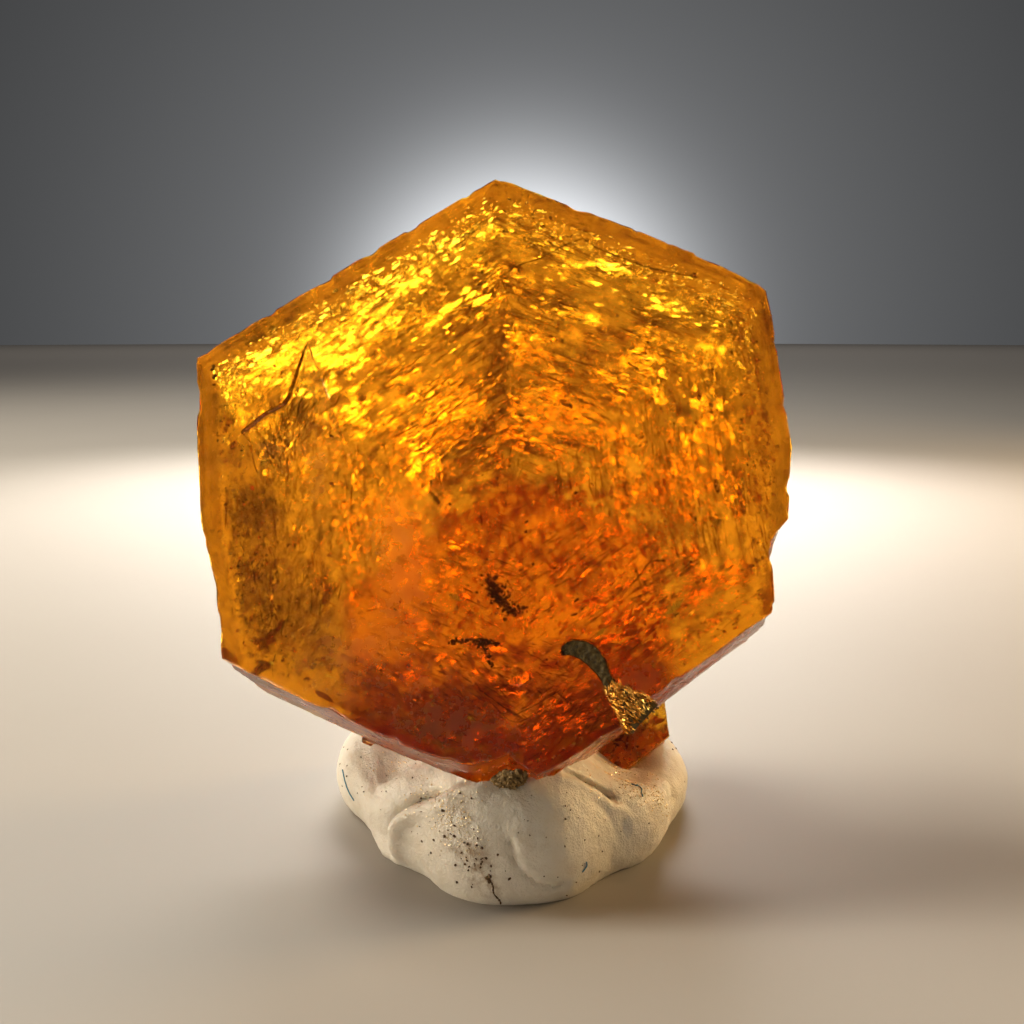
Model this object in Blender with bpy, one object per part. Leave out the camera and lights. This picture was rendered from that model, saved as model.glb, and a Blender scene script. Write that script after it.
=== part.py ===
# Mimetite crystal specimen standing on a pressed lump of mineral putty.
# Metres, +Z up. The origin is on the standing surface, under the middle of the specimen's box.
# The camera-facing side, the broad basal face of the crystal, looks towards -Y.

import math

import bmesh
import bpy
import numpy as np
from mathutils import Matrix, Vector

MM = 0.001

# ---------------------------------------------------------------- driving sizes, in mm and degrees
# how the crystal stands: the middle of its basal face, and how it leans back, turns and rolls
FACE_CENTRE = (-0.036, -3.036, 12.97)
LEAN_DEG = 27.0
TURN_DEG = 0.86
ROLL_DEG = 5.35

# main crystal: distance of each prism face from the axis through the face centre, by its compass angle
MAIN_FACES = {0: 10.55, 60: 10.88, 120: 9.58, 180: 9.80, 240: 9.23, 300: 9.10}
MAIN_THICKNESS = 6.6
LOWER_RIGHT_FLARE = 0.035      # the lower right prism face opens out towards the back

# smaller crystal grown behind the lower half, parallel to the first
REAR_FACES = {0: 5.90, 60: 1.35, 120: 0.40, 180: 5.55, 240: 9.40, 300: 10.45}
REAR_FRONT, REAR_BACK = 6.2, 10.3

# broken foot of both crystals, buried in the putty, this high over the standing surface
FOOT_Z = 0.85

# curved groove at the lower right of the basal face, filled with matrix: (x, y, half width) along its middle
GROOVE = ((1.86, -6.14, 0.16), (2.20, -6.07, 0.29), (2.58, -6.24, 0.34), (2.88, -6.62, 0.30), (3.06, -7.05, 0.20),
          (3.24, -7.45, 0.26), (3.56, -7.86, 0.46), (3.98, -8.36, 0.74))
GROOVE_DEPTH = 0.55
GROOVE_RUNOUT = 0.9            # how far the groove's lower end runs on, out through the prism face
FIT_GAP = 0.05                 # matrix to crystal
VEIN_LOW = 0.09                # the vein's surface lies this far under the basal face

# crumb of matrix under the chipped bottom corner
CRUMB_AT = (-0.30, -9.86, -0.42)
CRUMB_SIZE = (0.78, 0.34, 0.44)

# putty: lumps as (x, y, z, radius x, radius y, radius z, boxiness)
PUTTY_LUMPS = (
    (0.75, -4.98, 1.50, 3.10, 3.20, 2.90, 2.4),    # front lump, folded up against the bottom corner
    (-1.80, -2.90, 1.30, 2.70, 3.00, 2.40, 2.2),   # front left shoulder
    (3.35, -3.10, 1.40, 2.90, 3.00, 2.40, 2.2),    # front right shoulder
    (-3.05, 0.70, 1.20, 3.05, 3.70, 2.15, 2.2),    # left lump
    (4.55, 0.30, 0.95, 2.95, 3.60, 1.75, 2.2),     # right lump
    (0.75, 2.20, 0.75, 4.60, 3.40, 1.45, 2.3),     # back lump, behind the rear crystal
)
PUTTY_HEART = (0.70, -1.30, 0.60)
PUTTY_BLEND = 0.09
SEAT_GAP = 0.08                # putty to crystal and to crumb


# ---------------------------------------------------------------- helpers
def clear_scene():
    for o in list(bpy.data.objects):
        bpy.data.objects.remove(o)


def material(name, colour, roughness, metallic=0.0, transmission=0.0):
    m = bpy.data.materials.new(name)
    m.use_nodes = True
    b = m.node_tree.nodes["Principled BSDF"]
    b.inputs["Base Color"].default_value = (*colour, 1.0)
    b.inputs["Roughness"].default_value = roughness
    b.inputs["Metallic"].default_value = metallic
    b.inputs["Transmission Weight"].default_value = transmission
    return m


def to_object(bm, name, mat, parent):
    bmesh.ops.recalc_face_normals(bm, faces=bm.faces[:])
    me = bpy.data.meshes.new(name)
    bm.to_mesh(me)
    bm.free()
    o = bpy.data.objects.new(name, me)
    bpy.context.scene.collection.objects.link(o)
    if mat is not None:
        me.materials.append(mat)
    o.parent = parent
    return o


def as_guide(o):
    o.hide_render = True
    o.display_type = "WIRE"
    return o


def keep_inside(bm, normal, distance):
    """Cuts a convex solid with the plane normal . p = distance and closes the cut."""
    n = Vector(normal)
    length = n.length
    n.normalize()
    cut = bmesh.ops.bisect_plane(bm, geom=bm.verts[:] + bm.edges[:] + bm.faces[:], dist=1e-8,
                                 plane_co=n * (distance / length), plane_no=n, clear_outer=True)
    edges = [e for e in cut["geom_cut"] if isinstance(e, bmesh.types.BMEdge)]
    if edges:
        bmesh.ops.contextual_create(bm, geom=edges)


def face_normal(angle, lift=0.0):
    a = math.radians(angle)
    return (math.cos(a), math.sin(a), lift)


def start_block():
    bm = bmesh.new()
    bmesh.ops.create_cube(bm, size=60 * MM)
    return bm


def crystal_axes():
    """The crystal's own x, y and outward basal normal, in the specimen's frame."""
    lean, turn, roll = (math.radians(v) for v in (LEAN_DEG, TURN_DEG, ROLL_DEG))
    n = Vector((math.sin(turn) * math.cos(lean), -math.cos(turn) * math.cos(lean), math.sin(lean)))
    x0 = Vector((math.cos(turn), math.sin(turn), 0.0))
    y0 = n.cross(x0)
    x = x0 * math.cos(roll) + y0 * math.sin(roll)
    y = y0 * math.cos(roll) - x0 * math.sin(roll)
    return x, y, n


def crystal_matrix():
    x, y, n = crystal_axes()
    return Matrix.Translation(Vector(FACE_CENTRE) * MM) @ Matrix((x, y, n)).transposed().to_4x4()


def foot_normal():
    """Straight down in the specimen's frame, in the crystal's own axes."""
    x, y, n = crystal_axes()
    return (-x.z, -y.z, -n.z)


def main_crystal(grow=0.0):
    """Hexagonal table: basal face at z = 0, prism faces down to -thickness, worn and chipped corners."""
    bm = start_block()
    keep_inside(bm, (0, 0, 1), grow * MM)
    keep_inside(bm, (0, 0, -1), (MAIN_THICKNESS + grow) * MM)
    for angle, distance in MAIN_FACES.items():
        lift = LOWER_RIGHT_FLARE if angle == 300 else 0.0
        keep_inside(bm, face_normal(angle, lift), (distance + grow) * MM)
    # blunt tip
    keep_inside(bm, (0.05, 1.0, 0.0), (11.68 + grow) * MM)
    # bevelled upper right corner
    keep_inside(bm, (0.70, 0.714, 0.0), (11.83 + grow) * MM)
    # spalled lower right side and worn lower left side
    keep_inside(bm, (0.968, -0.250, 0.03), (10.10 + grow) * MM)
    keep_inside(bm, (-0.991, -0.131, 0.02), (9.72 + grow) * MM)
    # chipped bottom corner, deeper at the basal face
    keep_inside(bm, (0.03, -0.946, 0.325), (9.12 + grow) * MM)
    keep_inside(bm, foot_normal(), (FACE_CENTRE[2] - FOOT_Z + grow) * MM)
    return bm


def rear_crystal(grow=0.0):
    """Smaller prism behind the first, its foot broken off level."""
    bm = start_block()
    keep_inside(bm, (0, 0, 1), -REAR_FRONT * MM)
    keep_inside(bm, (0, 0, -1), (REAR_BACK + grow) * MM)
    for angle, distance in REAR_FACES.items():
        keep_inside(bm, face_normal(angle), (distance + grow) * MM)
    keep_inside(bm, foot_normal(), (FACE_CENTRE[2] - FOOT_Z + grow) * MM)
    # bevel along the lower right prism edge of the back
    keep_inside(bm, (0.42, -0.70, -0.58), (14.3 + grow) * MM)
    return bm


def band_outline(points, shrink, runout):
    """Closed outline round a bent band given by its middle line and half widths."""
    left, right = [], []
    pts = [Vector((p[0], p[1])) for p in points]
    for i, p in enumerate(pts):
        a = pts[max(i - 1, 0)]
        b = pts[min(i + 1, len(pts) - 1)]
        t = (b - a).normalized()
        side = Vector((-t.y, t.x))
        hw = points[i][2] - shrink
        q = p
        if i == 0:
            q = p + t * shrink
        if i == len(pts) - 1:
            q = p + t * runout
        left.append(q + side * hw)
        right.append(q - side * hw)
    return left + right[::-1]


def extrude_outline(outline, z_low, z_high):
    bm = bmesh.new()
    low = [bm.verts.new((p.x * MM, p.y * MM, z_low * MM)) for p in outline]
    face = bm.faces.new(low)
    out = bmesh.ops.extrude_face_region(bm, geom=[face])
    top = [v for v in out["geom"] if isinstance(v, bmesh.types.BMVert)]
    bmesh.ops.translate(bm, verts=top, vec=(0, 0, (z_high - z_low) * MM))
    bmesh.ops.triangulate(bm, faces=bm.faces[:])
    return bm


def boolean(target, cutter, operation, name):
    m = target.modifiers.new(name, "BOOLEAN")
    m.operation = operation
    m.object = cutter
    m.solver = "EXACT"
    return m


# ---------------------------------------------------------------- putty surface
def lump_value(p, lump):
    """Below 1 inside the lump; grows evenly outwards."""
    x, y, z, rx, ry, rz, e = lump
    return (abs((p[0] - x) / rx) ** e + abs((p[1] - y) / ry) ** e + abs((p[2] - z) / rz) ** e) ** (1.0 / e)


def putty_value(p):
    """Smooth union of the lumps: negative inside, positive outside."""
    total = 0.0
    for lump in PUTTY_LUMPS:
        total += math.exp(-(lump_value(p, lump) - 1.0) / PUTTY_BLEND)
    return -PUTTY_BLEND * math.log(total)


def putty_blob(subdivisions):
    """Round ball drawn out or in along its spokes until it lies on the lumps' surface, with a level base."""
    bm = bmesh.new()
    bmesh.ops.create_icosphere(bm, subdivisions=subdivisions, radius=1.0)
    heart = Vector(PUTTY_HEART)
    for v in bm.verts:
        d = v.co.normalized()
        low, high = 0.2, 14.0
        for _ in range(40):
            mid = 0.5 * (low + high)
            if putty_value(heart + d * mid) > 0:
                high = mid
            else:
                low = mid
        v.co = (heart + d * low) * MM
    keep_inside(bm, (0, 0, -1), 0.0)
    bmesh.ops.triangulate(bm, faces=bm.faces[:])
    return bm


# ---------------------------------------------------------------- build
def build():
    clear_scene()
    amber = material("mimetite", (0.90, 0.40, 0.03), 0.12, 0.0, 0.9)
    earth = material("matrix", (0.17, 0.14, 0.05), 0.75)
    tack = material("putty", (0.80, 0.77, 0.71), 0.45)

    stand = bpy.data.objects.new("specimen", None)
    bpy.context.scene.collection.objects.link(stand)
    place = crystal_matrix()

    # the two crystals, grown together
    crystal = to_object(main_crystal(), "mimetite_crystal", amber, stand)
    crystal.matrix_local = place
    rear = as_guide(to_object(rear_crystal(), "rear_guide", None, stand))
    rear.matrix_local = place
    boolean(crystal, rear, "UNION", "grown_together")

    # groove in the basal face
    groove = extrude_outline(band_outline(GROOVE, 0.0, GROOVE_RUNOUT), -GROOVE_DEPTH, 1.0)
    groove_cut = as_guide(to_object(groove, "groove_guide", None, stand))
    groove_cut.matrix_local = place
    boolean(crystal, groove_cut, "DIFFERENCE", "groove")

    # notch broken out of the lower right side
    notch = bmesh.new()
    bmesh.ops.create_icosphere(notch, subdivisions=2, radius=1.0)
    for v in notch.verts:
        v.co = Vector((9.95 + 0.95 * v.co.x, -3.75 + 1.05 * v.co.y, -0.4 + 2.1 * v.co.z)) * MM
    notch_cut = as_guide(to_object(notch, "notch_guide", None, stand))
    notch_cut.matrix_local = place
    boolean(crystal, notch_cut, "DIFFERENCE", "notch")

    # matrix in the groove, a little lower than the face, ended flush with the prism face
    vein_bm = extrude_outline(band_outline(GROOVE, FIT_GAP, 0.25), -GROOVE_DEPTH + FIT_GAP, -VEIN_LOW)
    vein = to_object(vein_bm, "matrix_vein", earth, stand)
    vein.matrix_local = place

    # crumb of matrix under the bottom corner
    crumb_bm = bmesh.new()
    bmesh.ops.create_icosphere(crumb_bm, subdivisions=2, radius=1.0)
    rng = np.random.default_rng(7)
    for v in crumb_bm.verts:
        k = 1.0 + 0.12 * (rng.random() - 0.5)
        v.co = Vector([CRUMB_AT[i] + CRUMB_SIZE[i] * v.co[i] * k for i in range(3)]) * MM
    crumb = to_object(crumb_bm, "matrix_crumb", earth, stand)
    crumb.matrix_local = place
    grown = as_guide(to_object(main_crystal(FIT_GAP), "crumb_seat_guide", None, stand))
    grown.matrix_local = place
    boolean(crumb, grown, "DIFFERENCE", "against_crystal")

    # putty, pressed round the crystal's foot
    putty = to_object(putty_blob(4), "putty_mount", tack, stand)
    for name, solid in (("seat_main_guide", main_crystal(SEAT_GAP)), ("seat_rear_guide", rear_crystal(SEAT_GAP))):
        seat = as_guide(to_object(solid, name, None, stand))
        seat.matrix_local = place
        boolean(putty, seat, "DIFFERENCE", name)
    dent = bmesh.new()
    bmesh.ops.create_icosphere(dent, subdivisions=2, radius=1.0)
    for v in dent.verts:
        v.co = Vector([CRUMB_AT[i] + (CRUMB_SIZE[i] * 1.08 + SEAT_GAP) * v.co[i] for i in range(3)]) * MM
    dent_cut = as_guide(to_object(dent, "crumb_dent_guide", None, stand))
    dent_cut.matrix_local = place
    boolean(putty, dent_cut, "DIFFERENCE", "crumb_dent")

    for o in (putty, crumb):
        o.data.shade_smooth()
        o.data.set_sharp_from_angle(angle=math.radians(45))


build()
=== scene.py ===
import math

import bmesh
import bpy
import numpy as np
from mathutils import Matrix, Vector


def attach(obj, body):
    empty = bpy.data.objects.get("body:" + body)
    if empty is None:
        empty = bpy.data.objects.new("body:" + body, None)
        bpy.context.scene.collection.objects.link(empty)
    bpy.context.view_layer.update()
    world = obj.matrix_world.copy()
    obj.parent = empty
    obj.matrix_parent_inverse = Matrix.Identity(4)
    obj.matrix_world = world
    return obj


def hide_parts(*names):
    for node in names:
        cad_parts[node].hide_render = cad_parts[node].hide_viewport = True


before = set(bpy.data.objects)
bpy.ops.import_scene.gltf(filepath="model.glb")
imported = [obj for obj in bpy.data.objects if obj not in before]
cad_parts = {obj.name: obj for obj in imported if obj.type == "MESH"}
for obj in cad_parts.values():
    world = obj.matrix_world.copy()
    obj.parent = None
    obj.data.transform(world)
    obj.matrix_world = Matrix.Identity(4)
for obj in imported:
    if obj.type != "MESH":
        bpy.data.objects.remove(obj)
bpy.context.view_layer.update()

MM = 0.001

# ------------------------------------------------------------------ where things stand (mm, degrees)
FACE_CENTRE = np.array([-0.036, -3.036, 12.97])
LEAN, TURN, ROLL = (math.radians(v) for v in (27.0, 0.86, 5.35))
CAMERA_AT = np.array([0.709, -39.306, 18.0])
CAMERA_PITCH = 9.7

MAIN_THICKNESS = 6.6
REAR_FRONT, REAR_BACK = 6.2, 10.3
FOOT_Z = 0.85
INDEX = 2.1                          # refraction of mimetite

AXIS_N = np.array([math.sin(TURN) * math.cos(LEAN), -math.cos(TURN) * math.cos(LEAN), math.sin(LEAN)])
_x0 = np.array([math.cos(TURN), math.sin(TURN), 0.0])
_y0 = np.cross(AXIS_N, _x0)
AXIS_X = _x0 * math.cos(ROLL) + _y0 * math.sin(ROLL)
AXIS_Y = _y0 * math.cos(ROLL) - _x0 * math.sin(ROLL)
AXES = np.stack([AXIS_X, AXIS_Y, AXIS_N])


def to_frame(p):
    """Crystal axes (x, y, height over the basal face) to the specimen's frame, both in mm."""
    return FACE_CENTRE + np.asarray(p, float) @ AXES


def to_crystal(p):
    return (np.asarray(p, float) - FACE_CENTRE) @ AXES.T


# ------------------------------------------------------------------ noise
def _hash(ix, iy, iz, seed):
    h = (ix.astype(np.int64) * 374761393 + iy.astype(np.int64) * 668265263 + iz.astype(np.int64) * 1442695041 + seed * 974711) & 0xFFFFFFFF
    h = ((h ^ (h >> 13)) * 1274126177) & 0xFFFFFFFF
    h = ((h ^ (h >> 16)) * 2246822519) & 0xFFFFFFFF
    h = (h ^ (h >> 15)) & 0xFFFFFFFF
    return h.astype(float) / 4294967295.0


def noise3(x, y, z, seed=0):
    """Smooth value noise in 0..1."""
    x, y, z = np.broadcast_arrays(*(np.asarray(v, float) for v in (x, y, z)))
    ix, iy, iz = (np.floor(v).astype(np.int64) for v in (x, y, z))
    fx, fy, fz = x - ix, y - iy, z - iz
    fx, fy, fz = (f * f * (3 - 2 * f) for f in (fx, fy, fz))
    out = 0
    for dx in (0, 1):
        for dy in (0, 1):
            for dz in (0, 1):
                w = (fx if dx else 1 - fx) * (fy if dy else 1 - fy) * (fz if dz else 1 - fz)
                out = out + w * _hash(ix + dx, iy + dy, iz + dz, seed)
    return out


def fbm3(x, y, z, seed=0, octaves=3):
    out, amp, total = 0, 1.0, 0
    for k in range(octaves):
        out = out + amp * noise3(x * 2 ** k, y * 2 ** k, z * 2 ** k, seed + 31 * k)
        total += amp
        amp *= 0.5
    return out / total


def noise2(x, y, seed=0):
    return noise3(x, y, 0.0, seed)


def fbm2(x, y, seed=0, octaves=3):
    return fbm3(x, y, 0.0, seed, octaves)


def smooth(a, b, v):
    t = np.clip((v - a) / (b - a), 0, 1)
    return t * t * (3 - 2 * t)


# ------------------------------------------------------------------ mesh helpers
def make_object(name, verts_mm, quads=None, tris=None, attributes=None, frame_space=False):
    """Mesh object from mm coordinates, in the crystal's axes unless frame_space."""
    verts = np.asarray(verts_mm, float)
    if not frame_space:
        verts = to_frame(verts)
    verts = verts * MM
    loops, starts, counts = [], [], []
    pos = 0
    for block in (quads, tris):
        if block is not None and len(block):
            b = np.asarray(block, np.int32)
            loops.append(b.ravel())
            starts.append(pos + np.arange(len(b)) * b.shape[1])
            counts.append(np.full(len(b), b.shape[1]))
            pos += b.size
    me = bpy.data.meshes.new(name)
    me.vertices.add(len(verts))
    me.vertices.foreach_set("co", verts.astype(np.float32).ravel())
    me.loops.add(pos)
    me.loops.foreach_set("vertex_index", np.concatenate(loops))
    n = sum(len(s) for s in starts)
    me.polygons.add(n)
    me.polygons.foreach_set("loop_start", np.concatenate(starts).astype(np.int32))
    me.polygons.foreach_set("loop_total", np.concatenate(counts).astype(np.int32))
    me.update(calc_edges=True)
    me.validate()
    me.shade_flat()
    for key, values in (attributes or {}).items():
        a = me.attributes.new(key, "FLOAT", "POINT")
        a.data.foreach_set("value", np.asarray(values, np.float32))
    o = bpy.data.objects.new(name, me)
    bpy.context.scene.collection.objects.link(o)
    return o


def point_outwards(o):
    bm = bmesh.new()
    bm.from_mesh(o.data)
    bmesh.ops.recalc_face_normals(bm, faces=bm.faces[:])
    if bm.calc_volume(signed=True) < 0:
        bmesh.ops.reverse_faces(bm, faces=bm.faces[:])
    bm.to_mesh(o.data)
    bm.free()
    return o


def smooth_by_angle(o, degrees):
    o.data.shade_smooth()
    o.data.set_sharp_from_angle(angle=math.radians(degrees))


def combine(base, steps, name):
    """Apply booleans (tool, operation) to base and return the resulting object."""
    for k, (tool, op) in enumerate(steps):
        m = base.modifiers.new("step%d" % k, "BOOLEAN")
        m.operation, m.object, m.solver = op, tool, "EXACT"
    bpy.context.view_layer.update()
    dg = bpy.context.evaluated_depsgraph_get()
    me = bpy.data.meshes.new_from_object(base.evaluated_get(dg))
    for o in [base] + [s[0] for s in steps]:
        bpy.data.objects.remove(o)
    me.name = name
    o = bpy.data.objects.new(name, me)
    bpy.context.scene.collection.objects.link(o)
    return o


def mesh_coords(o):
    co = np.empty(len(o.data.vertices) * 3, np.float32)
    o.data.vertices.foreach_get("co", co)
    return co.reshape(-1, 3).astype(float) / MM


def mesh_normals(o):
    no = np.empty(len(o.data.vertices) * 3, np.float32)
    o.data.vertices.foreach_get("normal", no)
    return no.reshape(-1, 3).astype(float)


def catmull(points, per):
    p = np.asarray(points, float)
    ext = np.vstack([2 * p[0] - p[1], p, 2 * p[-1] - p[-2]])
    out = []
    for i in range(1, len(ext) - 2):
        a, b, c, d = ext[i - 1:i + 3]
        for k in range(per):
            t = k / per
            out.append(0.5 * (2 * b + (c - a) * t + (2 * a - 5 * b + 4 * c - d) * t * t + (3 * b - a - 3 * c + d) * t ** 3))
    out.append(p[-1])
    return np.array(out)


def tube_faces(rows, cols):
    """Quads of a closed tube made of rows rings with cols points, and its two end caps as fans."""
    r, c = np.meshgrid(np.arange(rows - 1), np.arange(cols), indexing="ij")
    r, c = r.ravel(), c.ravel()
    cn = (c + 1) % cols
    quads = np.column_stack([r * cols + c, r * cols + cn, (r + 1) * cols + cn, (r + 1) * cols + c])
    k = np.arange(1, cols - 1)
    first = np.column_stack([np.zeros_like(k), k + 1, k])
    last = np.column_stack([np.zeros_like(k), k, k + 1]) + (rows - 1) * cols
    return quads, np.vstack([first, last])


def solid_from_planes(name, planes, frame_space=False, size=40.0):
    """Convex solid from (normal, distance) half-spaces, mm."""
    bm = bmesh.new()
    bmesh.ops.create_cube(bm, size=2 * size)
    for n, d in planes:
        n = Vector(n)
        length = n.length
        bmesh.ops.bisect_plane(bm, geom=bm.verts[:] + bm.edges[:] + bm.faces[:], dist=1e-5, plane_co=n * (d / length ** 2), plane_no=n, clear_outer=True)
        rim = [e for e in bm.edges if e.is_boundary]
        if rim:
            bmesh.ops.holes_fill(bm, edges=rim)
    bmesh.ops.triangulate(bm, faces=bm.faces[:])
    bmesh.ops.recalc_face_normals(bm, faces=bm.faces[:])
    bm.verts.index_update()
    v = np.array([tuple(x.co) for x in bm.verts])
    t = np.array([[x.index for x in f.verts] for f in bm.faces])
    bm.free()
    return make_object(name, v, tris=t, frame_space=frame_space)


# ------------------------------------------------------------------ main crystal
# rim of the basal face, mm from the face centre, anticlockwise from the top
RIM = np.array([
    (1.30, 11.68), (0.00, 10.99), (-2.36, 9.68), (-5.86, 7.68), (-9.15, 5.80), (-9.42, 5.56), (-9.80, 5.42),
    (-9.84, 2.00), (-9.77, 0.44), (-9.76, -0.60), (-9.58, -1.50), (-9.30, -2.78), (-9.26, -4.15), (-9.15, -5.28),
    (-7.45, -6.36), (-5.10, -7.71), (-3.94, -8.40), (-2.77, -8.96), (-1.91, -9.34), (-0.95, -9.44), (-0.28, -9.26),
    (0.54, -9.90), (1.12, -9.72), (1.97, -9.33), (2.75, -8.92), (3.26, -8.72), (4.69, -7.76),
    (8.88, -5.43), (9.05, -3.95), (9.14, -3.12), (9.47, -2.74), (9.87, -2.40), (10.17, -0.96), (10.43, 0.12),
    (10.48, 1.85), (10.61, 5.12), (10.57, 6.18), (9.97, 6.80), (9.30, 7.30), (7.48, 8.33), (5.96, 9.22),
    (4.22, 10.16), (3.01, 10.82), (1.62, 11.62),
])
CORE = np.array([0.86, -0.75])       # where the growth sectors meet
FACE_ANGLES = np.radians([0, 60, 120, 180, 240, 300])
FACE_DIRS = np.stack([np.cos(FACE_ANGLES), np.sin(FACE_ANGLES)], -1)
MAIN_DIST = np.array([10.50, 10.88, 9.58, 9.75, 9.23, 9.25])      # of the back's edges, from the face centre
BACK_PLANES = [(FACE_DIRS[i], MAIN_DIST[i]) for i in range(6)] + [
    (np.array([0.70, 0.714]), 11.80), (np.array([0.968, -0.25]), 10.12), (np.array([-0.991, -0.131]), 9.70), (np.array([0.05, 1.0]), 11.65)]
REAR_DIST = np.array([5.86, 1.31, 0.36, 5.51, 9.36, 10.41])
REAR_PLANES = [(FACE_DIRS[i], REAR_DIST[i]) for i in range(6)]
REAR_CORE = np.array([0.15, -4.9])


def resample(rim, spacing):
    """Points along a closed outline, its corners kept."""
    out = []
    for a, b in zip(rim, np.roll(rim, -1, 0)):
        n = max(1, int(round(np.linalg.norm(b - a) / spacing)))
        out += [a + (b - a) * k / n for k in range(n)]
    return np.array(out)


def ray_to_planes(core, direction, planes):
    best = np.full(len(direction), 1e9)
    for n, d in planes:
        along = direction @ np.asarray(n, float)
        t = np.where(along > 1e-6, (d - core @ n) / np.maximum(along, 1e-6), 1e9)
        best = np.minimum(best, t)
    return best


def sectors(x, y, core=CORE, dists=MAIN_DIST):
    """Growth sector, distance out from the core (9.6 at the prism face) and place along the face."""
    px, py = x - core[0], y - core[1]
    reach = dists - FACE_DIRS @ core
    proj = px[..., None] * FACE_DIRS[:, 0] + py[..., None] * FACE_DIRS[:, 1]
    ratio = proj / reach
    i = np.argmax(ratio, -1)
    q = np.take_along_axis(ratio, i[..., None], -1)[..., 0] * 9.6
    t = -px * FACE_DIRS[i, 1] + py * FACE_DIRS[i, 0]
    return i, q, t


def plates(q, t, i, width, length, seed, tilt, step):
    """Rows of long thin plates along the growth steps, each with its own tilt and height."""
    wob = 0.9 * width * (fbm2(t / (length * 0.7), q / (width * 5) + i * 17.0, seed + 5) - 0.5)
    row = np.floor((q + wob) / width).astype(np.int64)
    off = _hash(row, i, np.zeros_like(row), seed) * 50.0
    ln = length * (0.5 + 1.1 * _hash(row, i + 7, np.zeros_like(row), seed + 1))
    place = (t + off) / ln + 0.35 * noise2(t / 0.3, q / 0.15, seed + 8)
    cell = np.floor(place).astype(np.int64)
    r1 = _hash(row, cell, i, seed + 2) * 2 - 1
    r2 = _hash(row, cell, i, seed + 3) * 2 - 1
    edge = smooth(0.0, 0.22, place - cell) * smooth(1.0, 0.78, place - cell)
    inner = (q + wob) - (row + 0.5) * width
    return (np.tan(tilt * np.sign(r1) * np.abs(r1) ** 0.7) * inner + step * r2) * (0.25 + 0.75 * edge)


def back_relief(x, y, core, dists, gain=1.0, seed=11):
    i, q, t = sectors(x, y, core, dists)
    strong = np.array([0.55, 0.9, 1.0, 0.40, 0.45, 0.6])[i]
    rim_clean = smooth(9.55, 8.0, q)          # the outermost zone grew clean
    k = strong * (0.25 + 0.75 * rim_clean) * gain
    h = plates(q, t, i, 0.27, 1.5, seed, 0.50, 0.03)
    h = h + plates(q, t, i, 0.8, 2.6, seed + 40, 0.30, 0.06)
    h = h * k
    h = h + 0.10 * (fbm2(x / 1.6, y / 1.6, seed + 9) - 0.5) + 0.03 * (fbm2(x / 0.35, y / 0.35, seed + 19) - 0.5)
    return np.clip(h, -0.33, 0.33)


def table_mesh(rim, core, planes, dists, z_front, z_back, seed, relief_gain, front_relief, rings_back, rings_front, strata):
    """Closed hexagonal table: flat basal face, stepped prism faces, terraced back."""
    n = len(rim)
    out_dir = rim - core
    length = np.linalg.norm(out_dir, axis=1)
    unit = out_dir / length[:, None]
    back_t = ray_to_planes(core, unit, planes)
    verts = []
    arc = np.concatenate([[0], np.cumsum(np.linalg.norm(np.diff(np.vstack([rim, rim[:1]]), axis=0), axis=1))])[:-1]
    s_front = list(np.linspace(0, 1, rings_front + 1)[1:-1]) + [0.9925, 0.9970, 1.0]
    verts.append(np.array([[core[0], core[1], z_front + front_relief(core[0:1], core[1:2])[0]]]))
    worn = 0.010 + 0.045 * noise2(arc / 0.5, 0, seed + 3) ** 2 + 0.05 * smooth(0.72, 0.95, noise2(arc / 0.35, 9, seed + 4))
    for s in s_front:
        p = core + out_dir * s
        z = z_front + front_relief(p[:, 0], p[:, 1])
        if s == 1.0:
            z = z - worn
        elif s > 0.996:
            z = z - 0.25 * worn
        verts.append(np.column_stack([p, z]))
    depth = [0.04, 0.12, 0.24] + list(np.linspace(0.4, z_front - z_back, strata)[:-1])
    side_i, _, side_t = sectors(rim[:, 0], rim[:, 1], core, dists)
    for d in depth:
        f = smooth(0.0, 2.6, d + 0.8 * (noise2(arc / 0.8, d / 0.5, seed + 6) - 0.5))
        reach = length + (back_t - length) * f
        q1 = np.floor(noise2(side_t / 7.0 + side_i * 5, d / 0.55, seed + 7) * 5) / 5 - 0.4
        q2 = np.floor(noise2(side_t / 2.5 + side_i * 9, d / 0.20, seed + 8) * 4) / 4 - 0.4
        rough = np.array([0.35, 0.16, 0.16, 0.35, 1.0, 1.0])[side_i]
        disp = rough * (0.15 * q1 + 0.07 * q2 + 0.03 * (noise2(side_t / 0.25, d / 0.3, seed + 12) - 0.5)) * smooth(0.0, 0.3, d)
        p = core + unit * (reach + disp)[:, None]
        verts.append(np.column_stack([p, np.full(n, z_front - d)]))
    s_back = np.linspace(1, 0, rings_back + 1)[:-1]
    for s in s_back:
        p = core + unit * (back_t * s)[:, None]
        z = z_back - back_relief(p[:, 0], p[:, 1], core, dists, relief_gain, seed)
        if s == 1.0:
            z = z + 0.04
        verts.append(np.column_stack([p, z]))
    verts.append(np.array([[core[0], core[1], z_back]]))
    verts = np.vstack(verts)
    rings = len(s_front) + len(depth) + len(s_back)
    j = np.arange(n)
    jn = (j + 1) % n
    quads = np.vstack([np.column_stack([1 + r * n + j, 1 + (r + 1) * n + j, 1 + (r + 1) * n + jn, 1 + r * n + jn]) for r in range(rings - 1)])
    last = 1 + (rings - 1) * n
    end = len(verts) - 1
    tris = np.vstack([np.column_stack([np.zeros(n, int), 1 + j, 1 + jn]), np.column_stack([np.full(n, end), last + jn, last + j])])
    return verts, quads, tris


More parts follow.
